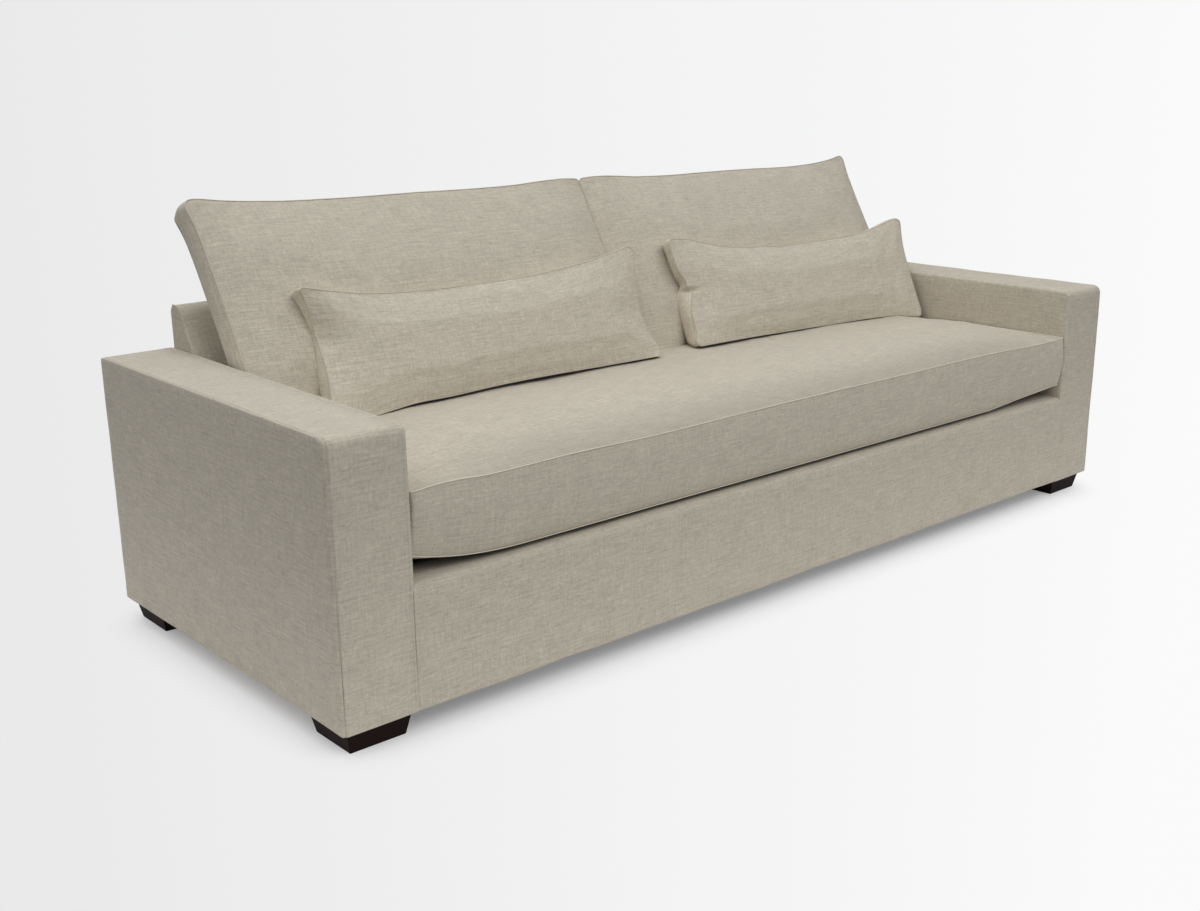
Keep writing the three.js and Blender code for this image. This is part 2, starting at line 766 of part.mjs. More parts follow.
function buildSeatCushion() {
  const group = new THREE.Group();
  group.position.z = deckHeight + gap;
  sofa.add(group);
  const back = backFaceY - seatBackClearance;
  const half = innerHalf * zipLengthShare;
  const middle = seatSeamHeight / 2;
  const slot = [
    [-half, back - cushionWall - 2 * gap, middle - zipSlot / 2],
    [half, back + overrun, middle + zipSlot / 2],
  ];
  buildCushion("seat_cushion", group, { point: seatPoint, across: 24, up: 10, slot });
}

function buildBackCushions() {
  const half = (backCushionWidth * zipLengthShare) / 2;
  const middle = -backCushionBand;
  const base = -middle * Math.tan(backRecline);
  const slot = [
    [-half, base - overrun, middle - zipSlot / 2],
    [half, base + cushionWall + zipSlot, middle + zipSlot / 2],
  ];
  for (const [name, side] of sides) {
    const x = (side * (backCushionWidth + backCushionClearance)) / 2;
    const group = leaningGroup(x, restY, backRecline);
    const point = (inset) => backCushionPoint(inset, side);
    buildCushion(`back_cushion_${name}`, group, { point, across: 18, up: 12, slot });
  }
}

function buildPillows() {
  const half = (pillowWidth * zipLengthShare) / 2;
  const middle = pillowBand / 2;
  const slot = [
    [-half, -pillowFoot - overrun, middle - zipSlot / 2],
    [half, cushionWall + gap, middle + zipSlot / 2],
  ];
  for (const [name, x] of [["left", leftPillowX], ["right", rightPillowX]]) {
    const group = leaningGroup(x, pillowY, pillowRecline);
    buildCushion(`lumbar_pillow_${name}`, group, { point: pillowPoint, across: 18, up: 8, slot });
  }
}

sides.forEach(buildArm);
buildFeet();
buildArmScrews();
buildSeatBase();
buildDeck();
piece("front_border_cover", frontBorder(), linen);
piece("dust_cover", dustCover(), cambric);
buildBack();
buildSeatCushion();
buildBackCushions();
buildPillows();

export default sofa;
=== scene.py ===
"""A straight track-arm sofa in beige linen, on four dark wooden feet.

It has a bench seat cushion, two back cushions and two lumbar pillows. All measures are in metres.
"""

import json
import math

import bmesh
import bpy
import numpy as np
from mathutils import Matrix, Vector


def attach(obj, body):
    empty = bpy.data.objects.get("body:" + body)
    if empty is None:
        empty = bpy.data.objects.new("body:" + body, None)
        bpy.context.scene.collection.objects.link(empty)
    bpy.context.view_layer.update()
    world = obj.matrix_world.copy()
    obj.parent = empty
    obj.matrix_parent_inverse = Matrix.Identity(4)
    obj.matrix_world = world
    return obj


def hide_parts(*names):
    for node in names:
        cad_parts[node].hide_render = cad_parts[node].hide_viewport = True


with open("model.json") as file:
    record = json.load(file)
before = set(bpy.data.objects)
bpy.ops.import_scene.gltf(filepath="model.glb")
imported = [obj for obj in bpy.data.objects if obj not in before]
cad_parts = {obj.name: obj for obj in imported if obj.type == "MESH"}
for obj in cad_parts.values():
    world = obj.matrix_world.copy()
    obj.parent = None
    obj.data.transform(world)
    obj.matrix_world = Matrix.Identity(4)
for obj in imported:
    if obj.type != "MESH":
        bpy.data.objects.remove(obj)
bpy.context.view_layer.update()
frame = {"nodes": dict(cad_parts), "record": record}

# The sofa's main sizes.
HALF = 1.22  # half its length
FRONT = -0.46
BACK = 0.46
ARM_WIDTH = 0.162
ARM_HEIGHT = 0.586
INNER = HALF - ARM_WIDTH  # from the middle to an arm's inner side
GROUND = 0.046  # height of the upholstery's lower edge
DECK = 0.290  # height of the cloth under the seat cushion
BACK_HEIGHT = 0.679
BACK_TOP = 0.042  # depth of the back's flat top
BACK_FACE = BACK - 0.185  # where the raked inside back turns upright
RECLINE = math.radians(31)
PILLOW_RECLINE = math.radians(23)
GAP = 0.0003  # between pieces that rest on each other
HEM = 0.030  # how far the cloth is turned under at the ground edge
SKIN = 0.008  # thickness of the padded cloth

# The seat cushion.
SEAT_HALF = INNER - 0.002
SEAT_SEAM = 0.169  # height of its upper front seam
SEAT_PLATEAU = 0.019
SEAT_CROWN = 0.012
SEAT_BACK = BACK_FACE - 0.003

# The back cushions.
CUSHION_WIDTH = INNER - 0.009
CUSHION_HEIGHT = 0.479
CUSHION_BAND = 0.064  # width of the boxing
CUSHION_CROWN = 0.046  # bulge of the front
CUSHION_FILL = 0.109  # bulge of the rear, which fills the space before the back

# The lumbar pillows.
PILLOW_WIDTH = INNER - 0.140
PILLOW_HEIGHT = 0.232
PILLOW_BAND = 0.046
PILLOW_CROWN = 0.044
PILLOW_FULLNESS = 0.8  # share of the crown that the cloth keeps
PILLOW_FOOT = 0.010
PILLOW_FORWARD = 0.013  # from the back cushion's foot to the pillow's
LEFT_PILLOW_X = 0.006 - PILLOW_WIDTH / 2
RIGHT_PILLOW_X = INNER - 0.019 - PILLOW_WIDTH / 2

# The feet: square blocks that taper down to the floor.
FOOT_TOP = 0.136
FOOT_BOTTOM = 0.117
FOOT_SETBACK = 0.023
FOOT_EDGE = 0.0016

# A cushion's panels and boxing lie apart in its UV map.
REAR_UV = 1.7
BOXING_UV = 3.3

CORNERS = ((-1, -1), (1, -1), (1, 1), (-1, 1))

# Where the fronts of the back cushions and pillows stand on the seat: in front of the raked inside back.
REST_Z = DECK + SEAT_SEAM + SEAT_PLATEAU + 2 * GAP
RAKED_Y = BACK - BACK_TOP - (BACK_HEIGHT - REST_Z) * math.tan(RECLINE)
REST_Y = RAKED_Y - (CUSHION_BAND + CUSHION_FILL + 2 * GAP) / math.cos(RECLINE)
PILLOW_Y = REST_Y - PILLOW_FORWARD


# ---- Materials


def shader(name):
    material = bpy.data.materials.new(name)
    material.use_nodes = True
    tree = material.node_tree
    return material, tree, tree.nodes["Principled BSDF"]


def add(tree, kind, inputs=None, **settings):
    """A node with its settings and its input values, which may be other nodes' sockets."""
    node = tree.nodes.new("ShaderNode" + kind)
    for key, value in settings.items():
        setattr(node, key, value)
    for key, value in (inputs or {}).items():
        if isinstance(value, bpy.types.NodeSocket):
            tree.links.new(value, node.inputs[key])
        else:
            node.inputs[key].default_value = value
    return node


def srgb(r, g, b):
    """A colour written as it shows on screen, from 0 to 255, in linear values."""
    line = [c / 255 for c in (r, g, b)]
    return tuple(c / 12.92 if c < 0.04045 else ((c + 0.055) / 1.055) ** 2.4 for c in line) + (1.0,)


def scaled(colour, share):
    return tuple(c * share for c in colour[:3]) + (1.0,)


def ramped(tree, level, *stops):
    """A colour ramp through pairs of a place and a colour."""
    ramp = add(tree, "ValToRGB", {0: level})
    elements = ramp.color_ramp.elements
    for end, (place, colour) in zip(elements, (stops[0], stops[-1])):
        end.position, end.color = place, colour
    for place, colour in stops[1:-1]:
        elements.new(place).color = colour
    return ramp.outputs[0]


def bumped(tree, out, height, strength, depth):
    """Raises the surface by a value."""
    bump = add(tree, "Bump", {"Height": height, "Strength": strength, "Distance": depth})
    tree.links.new(bump.outputs[0], out.inputs["Normal"])


def set_fixed(out, values):
    """Sets a shader's own values, which are the same all over the surface."""
    for key, value in values.items():
        out.inputs[key].default_value = value


def stretched_noise(tree, where, scale, detail=2.0, roughness=0.5, offset=(0, 0, 0)):
    mapped = add(tree, "Mapping", {"Vector": where, "Scale": scale, "Location": offset})
    return add(
        tree,
        "TexNoise",
        {"Vector": mapped.outputs[0], "Scale": 1.0, "Detail": detail, "Roughness": roughness},
    ).outputs["Fac"]


def blend(tree, a, b, share):
    """A weighted mean of two values."""
    scaled_a = add(tree, "Math", {0: a, 1: 1 - share}, operation="MULTIPLY").outputs[0]
    return add(tree, "Math", {0: b, 1: share, 2: scaled_a}, operation="MULTIPLY_ADD").outputs[0]


def weighted(tree, *parts):
    """A sum of values, each times its weight."""
    total = 0.0
    for value, weight in parts:
        node = add(tree, "Math", {0: value, 1: weight, 2: total}, operation="MULTIPLY_ADD")
        total = node.outputs[0]
    return total


def toned(tree, colour, tone):
    """A colour times a value."""
    return add(tree, "VectorMath", {0: colour, "Scale": tone}, operation="SCALE").outputs[0]


# How far the painted shade in creases looks for nearby surfaces.
CREASE_REACH = 0.045


def shaded_creases(tree, colour, darkest_painted_shade):
    """Paints shade into the cloth's colour deep in the creases between pieces, down to a share of its colour.
    """
    open_share = add(tree, "AmbientOcclusion", {"Distance": CREASE_REACH}, samples=6).outputs["AO"]
    depth = add(tree, "MapRange", {0: open_share, 1: 0.03, 2: 0.34, 3: darkest_painted_shade, 4: 1.0}).outputs[0]
    return toned(tree, colour, depth)


def painted_edge_shade(tree, where, half_y, half_x, share):
    """Painted shade: a tone that falls to a share at a panel's front edge, and falls less toward its two
    ends.
    """
    full, eased = 1.03, 0.55
    axes = add(tree, "SeparateXYZ", {0: where}).outputs
    behind = {0: axes[1], 1: -half_y - 0.03, 2: -half_y + 0.20, 3: share, 4: full}
    tone = add(tree, "MapRange", behind, interpolation_type="SMOOTHSTEP").outputs[0]
    aside = add(tree, "Math", {0: axes[0]}, operation="ABSOLUTE").outputs[0]
    ends = {0: aside, 1: half_x * 0.6, 2: half_x, 3: 0.0, 4: eased}
    ends = add(tree, "MapRange", ends, interpolation_type="SMOOTHSTEP").outputs[0]
    return add(tree, "Mix", {0: ends, 2: tone, 3: full}).outputs[0]


def painted_boxing_light(tree, where, start, share):
    """Painted light: a tone that turns to a share above a height in the UV map, where the boxing lies."""
    across = add(tree, "SeparateXYZ", {0: where}).outputs[1]
    return add(tree, "MapRange", {0: across, 1: start, 2: start + 0.01, 3: 1.0, 4: share}).outputs[0]


WEAVE_SPAN = 0.16  # how far the noise strays from its middle
WEAVE_SWING = 0.36  # how far the tone strays then
WEAVE_DEPTH = 0.0022


def linen(name, colour, contrast=1.0, uv=True, edge=None, boxing=None, darkest_painted_shade=0.18):
    """A plain linen weave with threads and slubs both ways, on a UV map in metres, with painted shade in its
    creases, and where asked painted shade before a front edge and painted light on the boxing.
    """
    material, tree, out = shader(name)
    where = add(tree, "TexCoord").outputs["UV" if uv else "Object"]
    weft = stretched_noise(tree, where, (90, 620, 90), 2.0, 0.55)
    warp = stretched_noise(tree, where, (620, 110, 90), 2.0, 0.55, (3.1, 7.7, 0))
    long_weft = stretched_noise(tree, where, (24, 210, 60), 2.0, 0.65, (5.2, 2.9, 0))
    long_warp = stretched_noise(tree, where, (210, 34, 60), 2.0, 0.65, (8.4, 6.1, 0))
    lines_weft = stretched_noise(tree, where, (9, 300, 60), 1.0, 0.5, (1.9, 8.3, 0))
    lines_warp = stretched_noise(tree, where, (300, 9, 60), 1.0, 0.5, (6.6, 0.7, 0))
    patches = stretched_noise(tree, where, (16, 24, 16), 4.0, 0.7, (9.3, 1.2, 0))
    threads = weighted(tree, (weft, 0.55), (warp, 0.45))
    slubs = weighted(tree, (long_weft, 0.62), (long_warp, 0.38))
    lines = weighted(tree, (lines_weft, 0.55), (lines_warp, 0.45))
    tone = weighted(tree, (threads, 0.40), (slubs, 0.34), (lines, 0.16), (patches, 0.10))
    stray = {0: tone, 1: 0.5 - WEAVE_SPAN, 2: 0.5 + WEAVE_SPAN, 3: 0.0, 4: 1.0}
    level = add(tree, "MapRange", stray).outputs[0]
    swing = WEAVE_SWING * contrast
    dark = tuple(c * (1 - swing * k) for c, k in zip(colour, (1.0, 1.0, 0.97))) + (1.0,)
    light = tuple(c * (1 + swing * k) for c, k in zip(colour, (1.0, 1.0, 0.96))) + (1.0,)
    tinted = ramped(tree, level, (0.0, dark), (0.5, colour), (1.0, light))
    if edge:
        # Painted shade before the panel's front edge.
        tinted = toned(tree, tinted, painted_edge_shade(tree, where, *edge))
    if boxing:
        # Painted light on the boxing.
        tinted = toned(tree, tinted, painted_boxing_light(tree, where, *boxing))
    # Painted shade deep in the creases between pieces.
    tree.links.new(shaded_creases(tree, tinted, darkest_painted_shade), out.inputs["Base Color"])
    height = weighted(tree, (threads, 0.6), (slubs, 0.4))
    bumped(tree, out, height, 0.5, WEAVE_DEPTH)
    set_fixed(
        out,
        {
            "Roughness": 0.92,
            "Specular IOR Level": 0.18,
            "Sheen Weight": 0.26,
            "Sheen Roughness": 0.4,
            "Sheen Tint": (1.0, 0.96, 0.94, 1.0),
        },
    )
    return material


STITCH = 0.004  # from one stitch to the next


def stitched(name, colour, low=0.72, high=1.12):
    """Folded linen along a seam, with a stitch every few millimetres."""
    material, tree, out = shader(name)
    where = add(tree, "TexCoord").outputs["UV"]
    fuzz = stretched_noise(tree, where, (300, 300, 300), 2.0)
    wave = add(
        tree,
        "TexWave",
        {"Vector": where, "Scale": math.tau / (20 * STITCH), "Distortion": 0.3},
        wave_type="BANDS",
        bands_direction="X",
    ).outputs["Fac"]
    dash = add(tree, "Math", {0: wave, 1: 0.25}, operation="GREATER_THAN").outputs[0]
    level = blend(tree, fuzz, dash, 0.35)
    thread = ramped(tree, level, (0.25, scaled(colour, low)), (0.75, scaled(colour, high)))
    tree.links.new(thread, out.inputs["Base Color"])
    bumped(tree, out, wave, 0.4, 0.0006)
    set_fixed(out, {"Roughness": 0.9, "Specular IOR Level": 0.2, "Sheen Weight": 0.2})
    return material


def grained(name, dark, light, scale, roughness):
    """Wood with its grain along X."""
    material, tree, out = shader(name)
    where = add(tree, "TexCoord").outputs["Object"]
    grain = stretched_noise(tree, where, (scale * 0.06, scale, scale), 6.0, 0.62)
    pores = stretched_noise(tree, where, (scale * 0.5, scale * 9, scale * 9), 2.0)
    level = blend(tree, grain, pores, 0.3)
    tree.links.new(ramped(tree, level, (0.32, dark), (0.68, light)), out.inputs["Base Color"])
    rough = add(tree, "MapRange", {0: pores, 3: roughness - 0.06, 4: roughness + 0.08}).outputs[0]
    tree.links.new(rough, out.inputs["Roughness"])
    bumped(tree, out, level, 0.3, 0.0003)
    set_fixed(out, {"Specular IOR Level": 0.06})
    return material


def mottled(name, dark, light, scale, roughness, metallic=0.0, depth=0.0005):
    """An even material whose tone and surface vary finely."""
    material, tree, out = shader(name)
    where = add(tree, "TexCoord").outputs["Object"]
    level = stretched_noise(tree, where, (scale, scale, scale), 4.0, 0.6)
    tree.links.new(ramped(tree, level, (0.35, dark), (0.65, light)), out.inputs["Base Color"])
    bumped(tree, out, level, 0.4, depth)
    set_fixed(out, {"Roughness": roughness, "Metallic": metallic})
    return material


LINEN = srgb(200, 192, 176)
# The seat's painted shade: its tone falls off before its front seam, given by half its depth, half its width
# and the tone at the seam.
SEAT_EDGE_SHADE = (0.368, 1.056, 0.74)
# The boxing is painted lighter than the panels, as painted light on the cushions' ends. In the UV maps it
# lies above these heights.
BOXING_PAINTED_LIGHT = 1.2
CUSHION_BOXING_LIGHT = (3.0, BOXING_PAINTED_LIGHT)
PILLOW_BOXING_LIGHT = (5.0, BOXING_PAINTED_LIGHT)

linen_cloth = linen("linen_cloth", LINEN, darkest_painted_shade=0.6)
# Most seams' cloth is painted lighter than the linen, as a painted highlight along the raised seams, and the
# seat's seam most.
seam_cloth = stitched("seam_cloth", scaled(LINEN, 1.12))
pillow_seam = stitched("pillow_seam", LINEN, 0.85, 1.1)
cushion_seam = stitched("cushion_seam", scaled(LINEN, 1.12), 0.85, 1.1)
painted_highlight_seam = stitched("painted_highlight_seam", scaled(LINEN, 1.3), 0.9, 1.2)
seat_linen = linen("seat_linen", LINEN, edge=SEAT_EDGE_SHADE)
cushion_linen = linen("cushion_linen", LINEN, boxing=CUSHION_BOXING_LIGHT)
pillow_linen = linen("pillow_linen", scaled(LINEN, 1.05), boxing=PILLOW_BOXING_LIGHT)
deck_cloth = linen("deck_cloth", srgb(176, 168, 152), 0.6, uv=False)
espresso = grained("espresso_wood", srgb(20, 12, 10), srgb(35, 23, 20), 55, 0.6)
timber = grained("bare_timber", srgb(176, 142, 92), srgb(214, 182, 128), 40, 0.75)
plywood = grained("plywood", srgb(190, 158, 110), srgb(222, 194, 146), 25, 0.75)
foam = mottled("foam", srgb(224, 214, 178), srgb(242, 234, 206), 420, 0.95)
felt = mottled("felt", srgb(112, 114, 118), srgb(158, 160, 164), 260, 1.0)
jute = mottled("jute", srgb(140, 112, 70), srgb(188, 158, 108), 500, 0.95)
steel = mottled("zinc_steel", srgb(150, 152, 156), srgb(184, 186, 190), 90, 0.38, 1.0, 0.0001)
cambric = mottled("cambric", srgb(24, 24, 25), srgb(38, 38, 39), 600, 0.95)
zip_tape = mottled("zip_tape", srgb(140, 133, 120), srgb(172, 164, 150), 900, 0.85)

SLOT_LOOKS = {
    "linen": linen_cloth,
    "deck_linen": deck_cloth,
    "espresso": espresso,
    "timber": timber,
    "plywood": plywood,
    "foam": foam,
    "felt": felt,
    "jute": jute,
    "steel": steel,
    "cambric": cambric,
    "zip_tape": zip_tape,
}


def dress_nodes():
    """Gives each CAD node the look of its material slot."""
    for part in frame["record"]["subparts"]:
        mesh = frame["nodes"][part["node"]].data
        mesh.materials.clear()
        mesh.materials.append(SLOT_LOOKS[part["material_slot"]])


# ---- Meshes


def quads(ids, uvs, flip=False):
    """The faces of a grid of vertices, with the UVs of their corners."""
    def corners(grid):
        return [grid[:-1, :-1], grid[:-1, 1:], grid[1:, 1:], grid[1:, :-1]]

    order = [3, 2, 1, 0] if flip else [0, 1, 2, 3]
    faces = np.stack([corners(ids)[i] for i in order], -1).reshape(-1, 4)
    marks = np.stack([corners(uvs)[i] for i in order], -2).reshape(-1, 4, 2)
    return faces, marks


def mesh_piece(name, points, parts, body, material, nodes=()):
    """A piece of linen from vertices and lists of quads with UVs, that rides on a body."""
    faces = np.concatenate([f for f, _ in parts])
    marks = np.concatenate([m for _, m in parts])
    mesh = bpy.data.meshes.new(name)
    mesh.from_pydata(points.tolist(), [], faces.tolist())
    layer = mesh.uv_layers.new(name="metres")
    layer.data.foreach_set("uv", marks.reshape(-1).astype(np.float32))
    mesh.polygons.foreach_set("use_smooth", [True] * len(faces))
    mesh.materials.append(material)
    mesh.update()
    return register(bpy.data.objects.new(name, mesh), body, nodes)


def register(piece, body, nodes):
    """Links a piece, sets what it rides on and hides the nodes it replaces."""
    bpy.context.scene.collection.objects.link(piece)
    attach(piece, body)
    if nodes:
        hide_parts(*nodes)
    return piece


def coordinates(piece):
    points = np.zeros(len(piece.data.vertices) * 3, np.float32)
    piece.data.vertices.foreach_get("co", points)
    return points.reshape(-1, 3).astype(float)


def set_coordinates(piece, points):
    piece.data.vertices.foreach_set("co", points.astype(np.float32).ravel())
    piece.data.update()


def normals(piece):
    found = np.zeros(len(piece.data.vertices) * 3, np.float32)
    piece.data.vertices.foreach_get("normal", found)
    return found.reshape(-1, 3).astype(float)


def ripple(points, wavelength, seed):
    """Smooth seeded unevenness, about from -1 to 1."""
    waves = 14
    rng = np.random.default_rng(seed)
    total = np.zeros(len(points))
    for _ in range(waves):
        direction = rng.normal(size=3)
        direction /= np.linalg.norm(direction)
        number = math.tau / (wavelength * rng.uniform(0.7, 1.5))
        total += np.sin(points @ direction * number + rng.uniform(0, math.tau))
    return total / math.sqrt(waves)


def run_length(path):
    """How far along a closed path each of its points lies, and the whole length at the end."""
    steps = np.linalg.norm(np.diff(path, axis=0, append=path[:1]), axis=1)
    return np.concatenate([[0], np.cumsum(steps)])


TUBE_SIDES = 8


def tube(name, path, radius, body, outward, closed=False, cloth=None):
    """A seam: a thin folded edge along a path of points, with the directions that point out of the cloth."""
    path = np.asarray(path, float)
    after = np.roll(path, -1, 0)
    before = np.roll(path, 1, 0)
    if not closed:
        after[-1] = path[-1] + (path[-1] - path[-2])
        before[0] = path[0] - (path[1] - path[0])
    along = after - before
    along /= np.linalg.norm(along, axis=1)[:, None]
    out = outward - along * (outward * along).sum(1)[:, None]
    out /= np.linalg.norm(out, axis=1)[:, None]
    side = np.cross(along, out)
    rings = []
    for k in range(TUBE_SIDES):
        angle = math.tau * k / TUBE_SIDES
        rings.append(path + radius * (math.cos(angle) * out + math.sin(angle) * side))
    count = len(path)
    ids = np.arange(TUBE_SIDES * count).reshape(TUBE_SIDES, count)
    ids = np.concatenate([ids, ids[:1]])
    run = run_length(path)
    if closed:
        ids = np.concatenate([ids, ids[:, :1]], 1)
    else:
        run = run[:-1]
    around = np.linspace(0, math.tau * radius, TUBE_SIDES + 1)
    uvs = np.stack(np.meshgrid(run, around), -1)
    mesh_piece(name, np.concatenate(rings), [quads(ids, uvs, True)], body, cloth or seam_cloth)


# ---- Upholstery on the frame

STEP = 0.03  # between the points of a straight run
ROUND_STEP = 0.003  # between the points of a rounded corner


def turn(enter, corner, leave, shares):
    """Points of a rounded corner."""
    return [(1 - f) ** 2 * enter + 2 * f * (1 - f) * corner + f * f * leave for f in shares]


def rounded_outline(corners, radii):
    """A closed outline with rounded corners, with points along its straight runs too."""
    corners = [np.array(c, float) for c in corners]
    line = []
    count = len(corners)
    for i, here in enumerate(corners):
        radius = radii.get(i, 0.0)
        to_last = corners[i - 1] - here
        to_next = corners[(i + 1) % count] - here
        to_last /= np.linalg.norm(to_last)
        to_next /= np.linalg.norm(to_next)
        enter, leave = here + to_last * radius, here + to_next * radius
        if radius:
            parts = max(5, int(radius / ROUND_STEP))
            line += turn(enter, here, leave, [k / parts for k in range(parts + 1)])
        else:
            line.append(here)
        stop = corners[(i + 1) % count] - to_next * radii.get((i + 1) % count, 0.0)
        run = stop - leave
        parts = int(np.linalg.norm(run) / STEP)
        line += [leave + run * k / parts for k in range(1, parts)]
    return np.array(line)


def bend(radius, steps=5):
    """An edge's rounding: pairs of distance from the end and inset from the outline."""
    turns = np.linspace(0, math.pi / 2, steps)
    return [(radius * (1 - math.cos(a)), radius * (1 - math.sin(a))) for a in turns]


END_UV = 5.5  # where a sweep's end panels lie in its UV map


def sweep(name, outline, low, high, low_edge, high_edge, nodes, seed, crown=0.0):
    """An outline in Y and Z run along X, with its two ends rounded or grooved, and closed."""
    after, before = np.roll(outline, -1, 0), np.roll(outline, 1, 0)
    along = after - before
    along /= np.linalg.norm(along, axis=1)[:, None]
    area = 0.5 * (outline[:, 0] * after[:, 1] - after[:, 0] * outline[:, 1]).sum()
    inward = np.stack([-along[:, 1], along[:, 0]], -1) * np.sign(area)
    first, last = low + low_edge[-1][0], high - high_edge[-1][0]
    between = np.linspace(first, last, max(2, int((last - first) / STEP)) + 1)[1:-1]
    stations = [(low + x, cut) for x, cut in low_edge]
    stations += [(x, 0.0) for x in between]
    stations += [(high - x, cut) for x, cut in reversed(high_edge)]
    xs = np.array([x for x, _ in stations])
    rings = [np.column_stack([np.full(len(outline), x), outline + inward * cut]) for x, cut in stations]
    count = len(outline)
    ids = np.arange(len(xs) * count).reshape(len(xs), count)
    uvs = np.stack(np.meshgrid(run_length(outline), xs), -1)[..., ::-1]
    parts = [quads(np.concatenate([ids, ids[:, :1]], 1), uvs, area < 0)]
    total = ids.size
    centre = (outline.min(0) + outline.max(0)) / 2
    half = (outline.max(0) - outline.min(0)) / 2
    closing = []
    for edge, sign in ((0, -1), (len(xs) - 1, 1)):
        ring = rings[edge]
        rows = [ids[edge]]
        marks = [ring[:, 1:]]
        if crown:
            for inset in np.linspace(0, 0.92, 24)[1:] * half.min():
                flat = centre + (ring[:, 1:] - centre) * (1 - inset / half)
                swollen = 1 - np.minimum(np.abs((flat - centre) / half), 1) ** 12
                wavy = ripple(np.column_stack([ring[:, 0], flat]), 0.3, seed + 7)
                x = ring[:, 0] + sign * swollen.prod(1) * (crown + 0.0006 * wavy)
                rings.append(np.column_stack([x, flat]))
                rows.append(np.arange(total, total + count))
                marks.append(flat)
                total += count
            grid = np.stack(rows)
            grid = np.concatenate([grid, grid[:, :1]], 1)
            places = np.stack(marks) + END_UV
            places = np.concatenate([places, places[:, :1]], 1)
            parts.append(quads(grid, places, (area < 0) != (sign < 0)))
        closing.append((rows[-1], sign))
    piece = mesh_piece(name, np.concatenate(rings), parts, "frame", linen_cloth, nodes)
    close_ends(piece, closing, bool(crown))
    uneven(piece, seed, -0.0007, 0.3, ids.size)
    return piece


def close_ends(piece, closing, smooth):
    """Fills the two ends of a sweep, each given by its last row of vertices and its side."""
    work = bmesh.new()
    work.from_mesh(piece.data)
    work.verts.ensure_lookup_table()
    layer = work.loops.layers.uv.active
    for row, sign in closing:
        face = work.faces.new([work.verts[i] for i in row])
        face.smooth = smooth
        for loop in face.loops:
            loop[layer].uv = (loop.vert.co.y + END_UV, loop.vert.co.z + END_UV)
        face.normal_update()
        if face.normal.x * sign < 0:
            face.normal_flip()
    work.to_mesh(piece.data)
    work.free()


HEM_THICKNESS = 0.0028


def hollow_under(piece, low, high):
    """Opens the underside of an arm inside its hem and turns the hem's edge up."""
    work = bmesh.new()
    work.from_mesh(piece.data)
    inside = []
    for face in work.faces:
        middle = face.calc_center_median()
        if face.normal.z < -0.9 and low[0] < middle.x < high[0] and low[1] < middle.y < high[1]:
            inside.append(face)
    bmesh.ops.delete(work, geom=inside, context="FACES")
    rim = [e for e in work.edges if e.is_boundary]
    made = bmesh.ops.extrude_edge_only(work, edges=rim)
    lifted = [g for g in made["geom"] if isinstance(g, bmesh.types.BMVert)]
    bmesh.ops.translate(work, verts=lifted, vec=(0, 0, HEM_THICKNESS))
    work.to_mesh(piece.data)
    work.free()


def uneven(piece, seed, depth, wavelength, count):
    """Gives the first vertices of a piece, its sides, a slight unevenness along their normals."""
    points = coordinates(piece)
    amount = depth * (ripple(points, wavelength, seed) + 0.5 * ripple(points, wavelength / 3, seed + 1))
    amount[count:] = 0.0
    set_coordinates(piece, points + normals(piece) * amount[:, None])


# The arms' side panels meet the panel over their front and top in a seam: a welt, then a groove.
OUTER_SEAM = [(0.0, 0.0036), (0.0005, 0.0019), (0.0016, 0.0006), (0.0030, 0.0), (0.0042, 0.0003)]
OUTER_SEAM += [(0.0052, 0.0030), (0.0064, 0.0030), (0.0076, 0.0003), (0.0098, 0.0)]
INNER_SEAM = bend(0.009, 6) + [(0.0105, 0.0), (0.0112, 0.0008), (0.0119, 0.0008), (0.0126, 0.0)]

ARM_EDGE_RADIUS = 0.012
ARM_EDGE_REACH = 0.05  # how far behind the front the rounding fades out


def soften_front_edge(arm):
    """Rounds the upright edge between an arm's outer side and its front."""
    points = coordinates(arm)
    inside = np.clip(ARM_EDGE_RADIUS - (HALF - np.abs(points[:, 0])), 0, ARM_EDGE_RADIUS)
    turned = ARM_EDGE_RADIUS - np.sqrt(ARM_EDGE_RADIUS**2 - inside**2)
    points[:, 1] += turned * np.clip(1 - (points[:, 1] - FRONT) / ARM_EDGE_REACH, 0, 1)
    set_coordinates(arm, points)


def build_arm(side, sign):
    low, high = sorted((sign * HALF, sign * INNER))
    outline = rounded_outline(
        [(FRONT, GROUND), (FRONT, ARM_HEIGHT), (BACK, ARM_HEIGHT), (BACK, GROUND)],
        {0: 0.004, 1: 0.024, 2: 0.009, 3: 0.004},
    )
    edges = (OUTER_SEAM, INNER_SEAM) if sign < 0 else (INNER_SEAM, OUTER_SEAM)
    nodes = [f"arm_{side}_cover"]
    arm = sweep(f"arm_upholstery_{side}", outline, low, high, *edges, nodes, 11 + sign, crown=0.0012)
    hollow_under(arm, (low + HEM, FRONT + HEM), (high - HEM, BACK - HEM))
    if sign < 0:
        soften_front_edge(arm)


FOLD = 0.003  # thickness of the cloth that is turned under


def build_border():
    shelf = FRONT + 0.12
    outline = rounded_outline(
        [
            (FRONT, GROUND),
            (FRONT + HEM, GROUND),
            (FRONT + HEM, GROUND + FOLD),
            (FRONT + SKIN, GROUND + FOLD),
            (FRONT + SKIN, DECK - 0.005),
            (shelf, DECK - 0.005),
            (shelf, DECK),
            (FRONT, DECK),
        ],
        {0: 0.006, 7: 0.018},
    )
    half = INNER + 0.005  # its ends run into the rounding of the arms
    edge = bend(0.0006, 3)
    sweep("front_border", outline, -half, half, edge, edge, ["front_border_cover"], 31)


